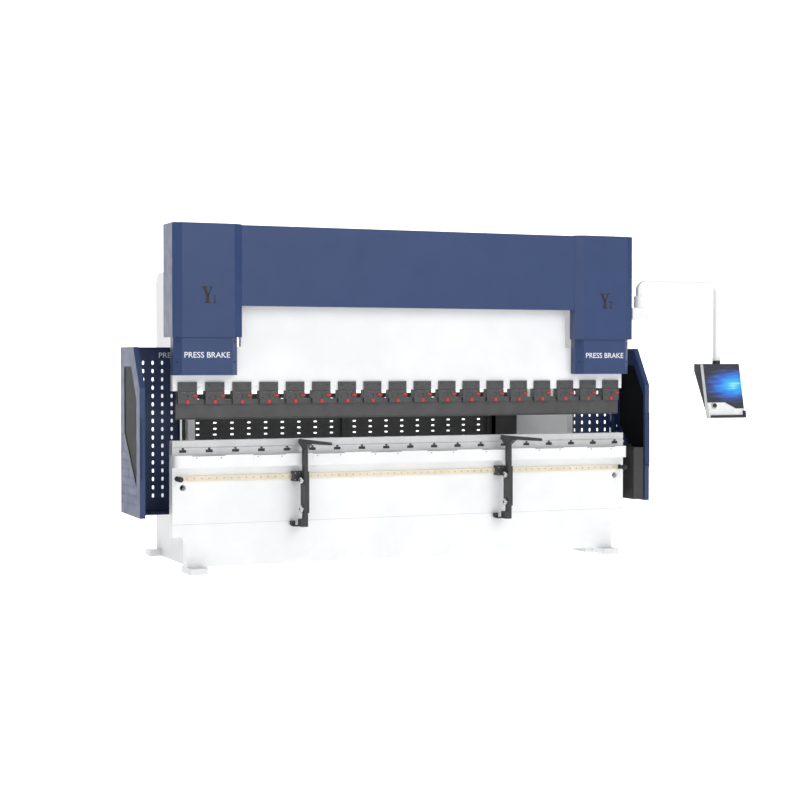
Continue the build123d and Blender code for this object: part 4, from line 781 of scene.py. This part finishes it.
def guard_details(paint):
    """Screws of the guards' tabs and the rubber seals round the door windows."""
    low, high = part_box("guard_panels")
    rear_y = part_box("left_door")[1].y - 0.008
    spots = [((side * (high.x - 0.445), rear_y - 0.02, z), (0, 0, 1)) for side in (-1, 1)
             for z in (low.z + 0.2, high.z - 0.15)]
    screws("guard_tab_screws", "root", spots, 0.006, 0.004, *paint["fastener"])
    for name, side in SIDES.items():
        door_low, door_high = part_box(f"{name}_door")
        outer_x = door_high.x if side > 0 else door_low.x
        bottom, top = door_low.z, door_high.z
        points = [(0.466, top - 0.157), (0.257, top - 0.157), (0.101, top - 0.409),
                  (0.101, bottom + 0.24), (0.466, bottom + 0.648)]
        loop = [Vector((outer_x - side * 0.0015, y + FRONT_Y, z)) for y, z in points]
        seal = bmesh.new()
        band = 0.005
        for start, end in zip(loop, loop[1:] + loop[:1]):
            run = (end - start).normalized()
            across = run.cross(Vector((1, 0, 0))) * band
            depth = Vector((side * 0.0022, 0, 0))
            corners = [start - run * band - across, end + run * band - across,
                       end + run * band + across, start - run * band + across]
            lower = [seal.verts.new(c - depth) for c in corners]
            upper = [seal.verts.new(c + depth) for c in corners]
            seal.faces.new(lower)
            seal.faces.new(list(reversed(upper)))
            for index in range(4):
                after = (index + 1) % 4
                seal.faces.new((lower[index], upper[index], upper[after], lower[after]))
        finish_piece(f"{name}_window_seal", seal, f"{name}_door", *paint["rubber"])
        x = (door_low.x + door_high.x) / 2
        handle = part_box(f"{name}_door_handle")
        spots = [((x + dx, door_low.y - 0.0005, z + dz), (0, -1, 0)) for dx in (-0.008, 0.008)
                 for dz in (-0.008, 0.008)
                 for z in (handle[0].z + 0.015, handle[1].z - 0.015)]
        screws(f"{name}_handle_screws", f"{name}_door", spots, 0.0026, 0.0035, *paint["zinc"])


def junction_details(paint):
    """Door seam, lock and cable glands of the junction box."""
    low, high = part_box("junction_box")
    bm = bmesh.new()
    slab(bm, (low.x - 0.002, low.y + 0.02, low.z + 0.02), (low.x + 0.001, high.y - 0.02,
                                                           high.z - 0.02))
    soften(bm, 0.0008)
    finish_piece("junction_box_door", bm, "root", *paint["dark"])
    locks = [((low.x - 0.002, low.y + 0.05, z), (-1, 0, 0)) for z in (low.z + 0.1, high.z - 0.1)]
    screws("junction_box_locks", "root", locks, 0.011, 0.006, *paint["fastener"])
    glands = [(((low.x + high.x) / 2, y, high.z), (0, 0, 1))
              for y in spread(high.y - 0.3, high.y - 0.06, 4)]
    screws("junction_box_glands", "root", glands, 0.014, 0.022, *paint["black"],
           hex_head)


# ---- Hydraulics ---------------------------------------------------------------------------
def hydraulic_details(paint):
    """Cylinder bolts, valve coils, pipe nuts, motor fins and the tank's fittings."""
    low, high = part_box("cylinders")
    centre_y = (low.y + high.y) / 2
    spots = []
    for side in SIDES.values():
        centre_x = side * (high.x - BLOCK / 2)
        for index in range(8):
            angle = math.radians(45 * index + 22.5)
            spots.append(((centre_x + 0.108 * math.cos(angle), centre_y + 0.108 * math.sin(angle),
                           high.z), (0, 0, 1)))
    screws("cylinder_cap_bolts", "root", spots, 0.009, 0.012, *paint["fastener"])
    valve_low, valve_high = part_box("valve_manifolds")
    plugs, coils = [], bmesh.new()
    for side in SIDES.values():
        centre_x = side * (high.x - BLOCK / 2)
        for dx in (-0.05, 0.0, 0.05):
            plugs.append(((centre_x + dx, valve_low.y, valve_low.z + 0.05), (0, -1, 0)))
            plugs.append(((centre_x + dx, valve_low.y, valve_high.z - 0.04), (0, -1, 0)))
        for z in (valve_low.z + 0.045, valve_low.z + 0.11):
            slab(coils, (centre_x - 0.024, valve_high.y - 0.05, z - 0.024),
                 (centre_x + 0.024, valve_high.y - 0.008, z + 0.024))
            slab(coils, (centre_x - 0.012, valve_high.y - 0.04, z + 0.02),
                 (centre_x + 0.012, valve_high.y - 0.015, z + 0.036))
    soften(coils, 0.002)
    finish_piece("valve_coils", coils, "root", *paint["black"])
    screws("valve_plugs", "root", plugs, 0.011, 0.006, *paint["zinc"], hex_head)
    pipes_low, pipes_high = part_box("hydraulic_pipes")
    pipe_z = (pipes_low.z + pipes_high.z) / 2
    nuts = bmesh.new()
    for side in SIDES.values():
        inlet = Vector((side * (high.x - BLOCK / 2 - 0.09), centre_y, pipe_z))
        place = facing(inlet, (-side, 0, 0))
        lathe(nuts, [(0.0141, 0.0), (0.023, 0.0), (0.023, 0.026), (0.019, 0.031),
                     (0.0141, 0.031)], place, 6)
    splitter_y = pipes_high.y - 0.014
    for side in SIDES.values():
        place = facing((side * 0.06, splitter_y, pipe_z), (side, 0, 0))
        lathe(nuts, [(0.0141, 0.0), (0.023, 0.0), (0.023, 0.026), (0.019, 0.031),
                     (0.0141, 0.031)], place, 6)
    finish_piece("pipe_nuts", nuts, "root", *paint["zinc"], 20.0)
    motor_details(paint)
    tank_details(paint)


def motor_details(paint):
    """Cooling fins, fan cowl, feet and foot bolts of the motor."""
    radius, length = 0.11, 0.42
    motor_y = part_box("oil_tank")[0].y + 0.17
    axis_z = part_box("tie_beams")[1].z + LID + 0.135
    fins = bmesh.new()
    for index in range(40):
        angle = 2 * math.pi * index / 40
        if math.sin(angle) > 0.88 or math.sin(angle) < -0.6:
            continue
        out = Vector((0, math.cos(angle), math.sin(angle)))
        side = Vector((0, -math.sin(angle), math.cos(angle))) * 0.0015
        base = Vector((0, motor_y, axis_z)) + out * (radius - 0.002)
        tip = base + out * 0.014
        x0, x1 = Vector((-length + 0.07, 0, 0)), Vector((-0.05, 0, 0))
        corners = [base - side, base + side, tip + side * 0.6, tip - side * 0.6]
        near = [fins.verts.new(c + x0) for c in corners]
        far = [fins.verts.new(c + x1) for c in corners]
        fins.faces.new(near)
        fins.faces.new(list(reversed(far)))
        for step in range(4):
            after = (step + 1) % 4
            fins.faces.new((near[step], far[step], far[after], near[after]))
    finish_piece("motor_fins", fins, "root", *paint["grey"])
    cowl = bmesh.new()
    place = facing((-length + 0.055, motor_y, axis_z), (-1, 0, 0))
    lathe(cowl, [(radius - 0.001, 0.0), (radius + 0.012, 0.0), (radius + 0.012, 0.07),
                 (radius + 0.002, 0.084), (0.09, 0.084), (0.09, 0.08), (0.075, 0.08),
                 (0.075, 0.084), (0.06, 0.084), (0.06, 0.08), (0.045, 0.08), (0.045, 0.084),
                 (0.03, 0.084), (0.03, 0.08), (0.0, 0.08)], place, 48)
    finish_piece("motor_fan_cowl", cowl, "root", *paint["dark"])
    bolts = [((x, motor_y + dy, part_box("tie_beams")[1].z + LID), (0, 0, 1))
             for x in (-0.33, -0.09) for dy in (-0.095, 0.095)]
    feet = bmesh.new()
    for x in (-0.33, -0.09):
        slab(feet, (x - 0.025, motor_y - 0.115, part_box("tie_beams")[1].z + LID),
             (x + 0.025, motor_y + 0.115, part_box("tie_beams")[1].z + 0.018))
    soften(feet, 0.0015)
    finish_piece("motor_feet", feet, "root", *paint["grey"])
    lifted = [((c[0], c[1], c[2] + 0.01), n) for c, n in bolts]
    screws("motor_foot_bolts", "root", lifted, 0.009, 0.009, *paint["zinc"],
           hex_head)


def tank_details(paint):
    """Lid screws, filler cap and return filter of the tank."""
    low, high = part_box("oil_tank")
    lid_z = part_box("tie_beams")[1].z + LID
    spots = [((x, y, lid_z), (0, 0, 1)) for x in spread(low.x + 0.03, high.x - 0.03, 10)
             for y in (low.y + 0.018, high.y - 0.018)]
    screws("tank_lid_screws", "root", spots, 0.007, 0.006, *paint["zinc"],
           hex_head)
    cap = bmesh.new()
    place = facing((low.x + 0.14, high.y - 0.15, lid_z + 0.045), (0, 0, 1))
    lathe(cap, [(0.045, -0.004), (0.052, 0.0), (0.052, 0.02), (0.046, 0.028), (0.02, 0.03),
                (0.0, 0.03)], place, 28)
    place = facing((high.x - 0.16, high.y - 0.15, lid_z), (0, 0, 1))
    lathe(cap, [(0.0, 0.0), (0.07, 0.0), (0.07, 0.02), (0.055, 0.024), (0.055, 0.1),
                (0.04, 0.112), (0.0, 0.112)], place, 32)
    finish_piece("tank_caps", cap, "root", *paint["black"])


# ---- Sheet supports -----------------------------------------------------------------------
def support_details(paint):
    """Carriage screws, wear strip and knob caps of each sheet support."""
    for name in SIDES:
        post_low, post_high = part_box(f"{name}_support_post")
        block_low, block_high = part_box(f"{name}_support_carriage")
        knob_low, knob_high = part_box(f"{name}_upper_knob")
        post_x = block_high.x - 0.0103 - 0.015
        spots = [((block_low.x + dx, block_low.y + 0.018, z), (0, -1, 0)) for dx in (0.012, 0.05)
                 for z in (block_high.z - 0.013, block_high.z - 0.066)]
        face_y = FRONT_Y - 0.076
        spots = [((c[0], face_y, c[2]), n) for c, n in spots]
        screws(f"{name}_carriage_screws", f"{name}_support", spots, 0.0045, 0.0035,
               *paint["zinc"])
        strip = bmesh.new()
        slab(strip, (post_x - 0.006, post_low.y + 0.03, post_high.z - 0.001),
             (post_x + 0.006, FRONT_Y - 0.06, post_high.z + 0.0008))
        soften(strip, 0.0004)
        finish_piece(f"{name}_blade_strip", strip, f"{name}_post", *paint["zinc"])
        for level in ("upper", "lower"):
            low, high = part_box(f"{name}_{level}_knob")
            cap = bmesh.new()
            centre = (low.x, FRONT_Y - 0.123, (knob_low.z + knob_high.z) / 2
                      if level == "upper" else (low.z + high.z) / 2)
            lathe(cap, [(0.0095, -0.001), (0.0095, 0.0012), (0.007, 0.002), (0, 0.002)],
                  facing(centre, (-1, 0, 0)), 20)
            finish_piece(f"{name}_{level}_knob_cap", cap, f"{name}_{level}_knob",
                         *paint["black"])


# ---- Backgauge ----------------------------------------------------------------------------
def gauge_details(paint):
    """Rails, end caps and screws of the backgauge."""
    low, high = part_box("backgauge_guides")
    strips, caps, spots = bmesh.new(), bmesh.new(), []
    for side in SIDES.values():
        x = side * (high.x - 0.05)
        for dx in (-0.028, 0.028):
            slab(strips, (x + dx - 0.006, low.y + 0.015, high.z - 0.001),
                 (x + dx + 0.006, high.y - 0.015, high.z + 0.00015))
        slab(caps, (x - 0.046, high.y - 0.001, low.z + 0.004),
             (x + 0.046, high.y + 0.012, high.z - 0.004))
        spots += [((x + dx, high.y + 0.012, z), (0, 1, 0)) for dx in (-0.034, 0.034)
                  for z in (low.z + 0.015, high.z - 0.015)]
    soften(caps, 0.002)
    finish_piece("gauge_guide_strips", strips, "root", *paint["steel"])
    finish_piece("gauge_guide_caps", caps, "root", *paint["black"])
    screws("gauge_cap_screws", "root", spots, 0.004, 0.003, *paint["zinc"])
    for name in SIDES:
        low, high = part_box(f"{name}_finger")
        x = (low.x + high.x) / 2
        spots = [((x + dx, high.y - 0.015, high.z), (0, 0, 1)) for dx in (-0.026, 0.026)]
        spots.append(((x, low.y + 0.06, high.z), (0, 0, 1)))
        screws(f"{name}_finger_screws", f"{name}_finger", spots, 0.006, 0.005, *paint["zinc"])


def rear_details(paint):
    """Frame returns, middle post, latches and screws of the rear doors."""
    frame_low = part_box("rear_guard_frame")[0]
    door_low, door_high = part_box("left_rear_door")
    returns = bmesh.new()
    for side in SIDES.values():
        edges = sorted((side * 1.475, side * 1.479))
        slab(returns, (edges[0], frame_low.y + 0.004, door_low.z),
             (edges[1], door_low.y - 0.005, door_high.z))
        lip = sorted((side * 1.43, side * 1.479))
        slab(returns, (lip[0], door_low.y - 0.008, door_low.z),
             (lip[1], door_low.y - 0.005, door_high.z))
    slab(returns, (-0.02, door_low.y - 0.006, door_low.z), (0.02, door_low.y - 0.002,
                                                            door_high.z))
    soften(returns, 0.0008)
    finish_piece("rear_frame_returns", returns, "root", *paint["dark"])
    for name, side in SIDES.items():
        low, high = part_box(f"{name}_rear_door")
        skin_y = FRONT_Y + 1.528
        inner_x = side * 0.008
        latch = bmesh.new()
        slab(latch, (inner_x + side * 0.02 - 0.012, skin_y - 0.0005, 0.98),
             (inner_x + side * 0.02 + 0.012, skin_y + 0.01, 1.03))
        soften(latch, 0.0015)
        finish_piece(f"{name}_rear_latch", latch, f"{name}_rear_door", *paint["silver"])
        edges = [((side * x, skin_y, z), (0, 1, 0)) for x in (0.03, 1.44)
                 for z in spread(low.z + 0.03, high.z - 0.03, 5)]
        screws(f"{name}_rear_door_screws", f"{name}_rear_door", edges, 0.005, 0.003,
               *paint["zinc"])


# ---- Operator pendant ---------------------------------------------------------------------
TILT = math.radians(12)             # of the pendant's front from upright


def on_pendant(x, drop, proud):
    """Point on the pendant's tilted front, from its top left corner."""
    low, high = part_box("pendant_bezel")
    down = Vector((0, -math.sin(TILT), -math.cos(TILT)))
    out = Vector((0, -math.cos(TILT), math.sin(TILT)))
    return Vector((low.x + x, FRONT_Y - 0.0775, high.z)) + down * drop + out * proud


def pendant_bar(bm, x0, x1, drop0, drop1, proud0, proud1):
    """A block that lies on the pendant's tilted front."""
    corners = [on_pendant(x, drop, proud) for proud in (proud0, proud1)
               for x, drop in ((x0, drop0), (x1, drop0), (x1, drop1), (x0, drop1))]
    verts = [bm.verts.new(corner) for corner in corners]
    for quad in ((0, 1, 2, 3), (7, 6, 5, 4), (0, 4, 5, 1), (1, 5, 6, 2), (2, 6, 7, 3),
                 (3, 7, 4, 0)):
        bm.faces.new([verts[index] for index in quad])


def pendant_details(paint):
    """Keys, button ring, screws, the arm's collar and the bend profile on the screen."""
    keys = bmesh.new()
    for row in range(2):
        for column in range(6):
            x = 0.15 + column * 0.031
            drop = 0.413 + row * 0.021
            pendant_bar(keys, x, x + 0.024, drop, drop + 0.014, -0.001, 0.0012)
    soften(keys, 0.0005)
    finish_piece("pendant_keys", keys, "pendant", *paint["bezel"])
    ring = bmesh.new()
    normal = Vector((0, -math.cos(TILT), math.sin(TILT)))
    length = 0.473 / math.cos(TILT)
    place = facing(on_pendant(0.06, length - 0.11, 0.0), normal)
    lathe(ring, [(0.0225, -0.004), (0.0225, 0.0015), (0.0275, 0.0015), (0.0285, 0.0),
                 (0.0285, -0.002)], place, 36)
    finish_piece("stop_button_ring", ring, "pendant", *paint["grey"])
    screws_at = [(on_pendant(x, drop, 0.0), normal) for x in (0.012, 0.358)
                 for drop in (0.408, 0.44)]
    screws("pendant_bezel_screws", "pendant", screws_at, 0.003, 0.0015, *paint["zinc"])
    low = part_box("pendant_arm")[0]
    collars = bmesh.new()
    end_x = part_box("pendant_bezel")[0].x + 0.185
    collar_z = low.z + 0.002
    place = facing((end_x, FRONT_Y, collar_z), (0, 0, 1))
    lathe(collars, [(0.03, 0.0), (0.037, 0.002), (0.037, 0.02), (0.03, 0.024),
                    (0.026, 0.024)], place, 32)
    finish_piece("arm_swivel_collar", collars, "pendant_arm", *paint["bezel"])
    lines = bmesh.new()
    for x0, x1, drop0, drop1 in ((0.055, 0.15, 0.236, 0.239), (0.147, 0.15, 0.19, 0.239),
                                 (0.15, 0.192, 0.19, 0.193)):
        pendant_bar(lines, x0, x1, drop0, drop1, 0.0, 0.0003)
    finish_piece("screen_bend_profile", lines, "pendant", paint["letters"][0], "screen_glass")


# ---- Stage --------------------------------------------------------------------------------
def area_light(name, place, target, size, power):
    """A soft square light aimed at a point."""
    data = bpy.data.lights.new(name, "AREA")
    data.shape = "SQUARE"
    data.size = size
    data.energy = power
    light = bpy.data.objects.new(name, data)
    light.location = place
    light.rotation_mode = "QUATERNION"
    light.rotation_quaternion = (Vector(target) - Vector(place)).to_track_quat("-Z", "Y")
    bpy.context.scene.collection.objects.link(light)
    return light


def plain(name, colour, rough, glow=0.0):
    """Backdrop material: matt, with faint mottling."""
    made = Shader(name, colour, rough)
    made.colour(made.mix(made.noise(0.8), colour, shade(colour, 0.99)))
    made.bsdf.inputs["Emission Color"].default_value = (1, 1, 1, 1)
    made.bsdf.inputs["Emission Strength"].default_value = glow
    return made.material


def build_stage():
    """Pale floor, pale backdrop, soft lights and the camera."""
    world = bpy.data.worlds.new("studio")
    world.use_nodes = True
    tree = world.node_tree
    background = tree.nodes["Background"]
    direction = tree.nodes.new("ShaderNodeTexCoord")
    axes = tree.nodes.new("ShaderNodeSeparateXYZ")
    tree.links.new(direction.outputs["Generated"], axes.inputs["Vector"])
    front = tree.nodes.new("ShaderNodeMapRange")
    front.interpolation_type = "SMOOTHSTEP"
    for key, value in (("From Min", -0.5), ("From Max", -0.9), ("To Min", 0.24),
                       ("To Max", 0.72)):
        front.inputs[key].default_value = value
    tree.links.new(axes.outputs["Y"], front.inputs["Value"])
    background.inputs["Color"].default_value = (1.0, 1.0, 1.0, 1.0)
    tree.links.new(front.outputs["Result"], background.inputs["Strength"])
    bpy.context.scene.world = world
    bm = bmesh.new()
    reach, back_y, high = 45.0, 26.0, 30.0
    corners = [(-reach, -reach, 0), (reach, -reach, 0), (reach, back_y, 0), (-reach, back_y, 0)]
    ground = [bm.verts.new(c) for c in corners]
    bm.faces.new(ground)
    wall_top = [bm.verts.new((x, back_y, high)) for x in (-reach, reach)]
    bm.faces.new((ground[3], ground[2], wall_top[1], wall_top[0]))
    mesh = bpy.data.meshes.new("floor")
    bm.to_mesh(mesh)
    bm.free()
    floor = bpy.data.objects.new("floor", mesh)
    bpy.context.scene.collection.objects.link(floor)
    mesh.materials.append(plain("pale_floor", (0.93, 0.93, 0.93, 1.0), 0.9, 0.74))
    low, high_corner = cad_box
    aim = (low + high_corner) / 2
    area_light("key", (5.0, -12.0, 9.0), aim, 7.0, 420.0)
    area_light("fill", (-1.5, -13.0, 6.0), aim, 6.0, 180.0)
    area_light("top", (0.0, 0.5, 9.0), aim, 9.0, 160.0)
    camera_data = bpy.data.cameras.new("camera")
    camera_data.lens = 76.21
    camera_data.sensor_width = 36.0
    camera_data.clip_end = 200.0
    camera = bpy.data.objects.new("camera", camera_data)
    camera.location = (-5.4944, -13.3191, 1.6425)
    yaw, pitch = math.radians(23.075), math.radians(1.297)
    camera.rotation_euler = (math.radians(90) - pitch, 0, -yaw)
    bpy.context.scene.collection.objects.link(camera)
    bpy.context.scene.camera = camera
    bpy.context.scene.view_settings.view_transform = "Standard"


# ---- Everything together ------------------------------------------------------------------
def main():
    """Dresses the frame, adds the small parts and sets the stage."""
    paint = make_finishes()
    dress_frame(paint)
    for details in (cover_screws, cover_lettering, cover_rims, clamp_details, table_details,
                    frame_bolts, guard_details, junction_details,
                    hydraulic_details, support_details, gauge_details, rear_details,
                    pendant_details):
        details(paint)
    build_stage()


main()
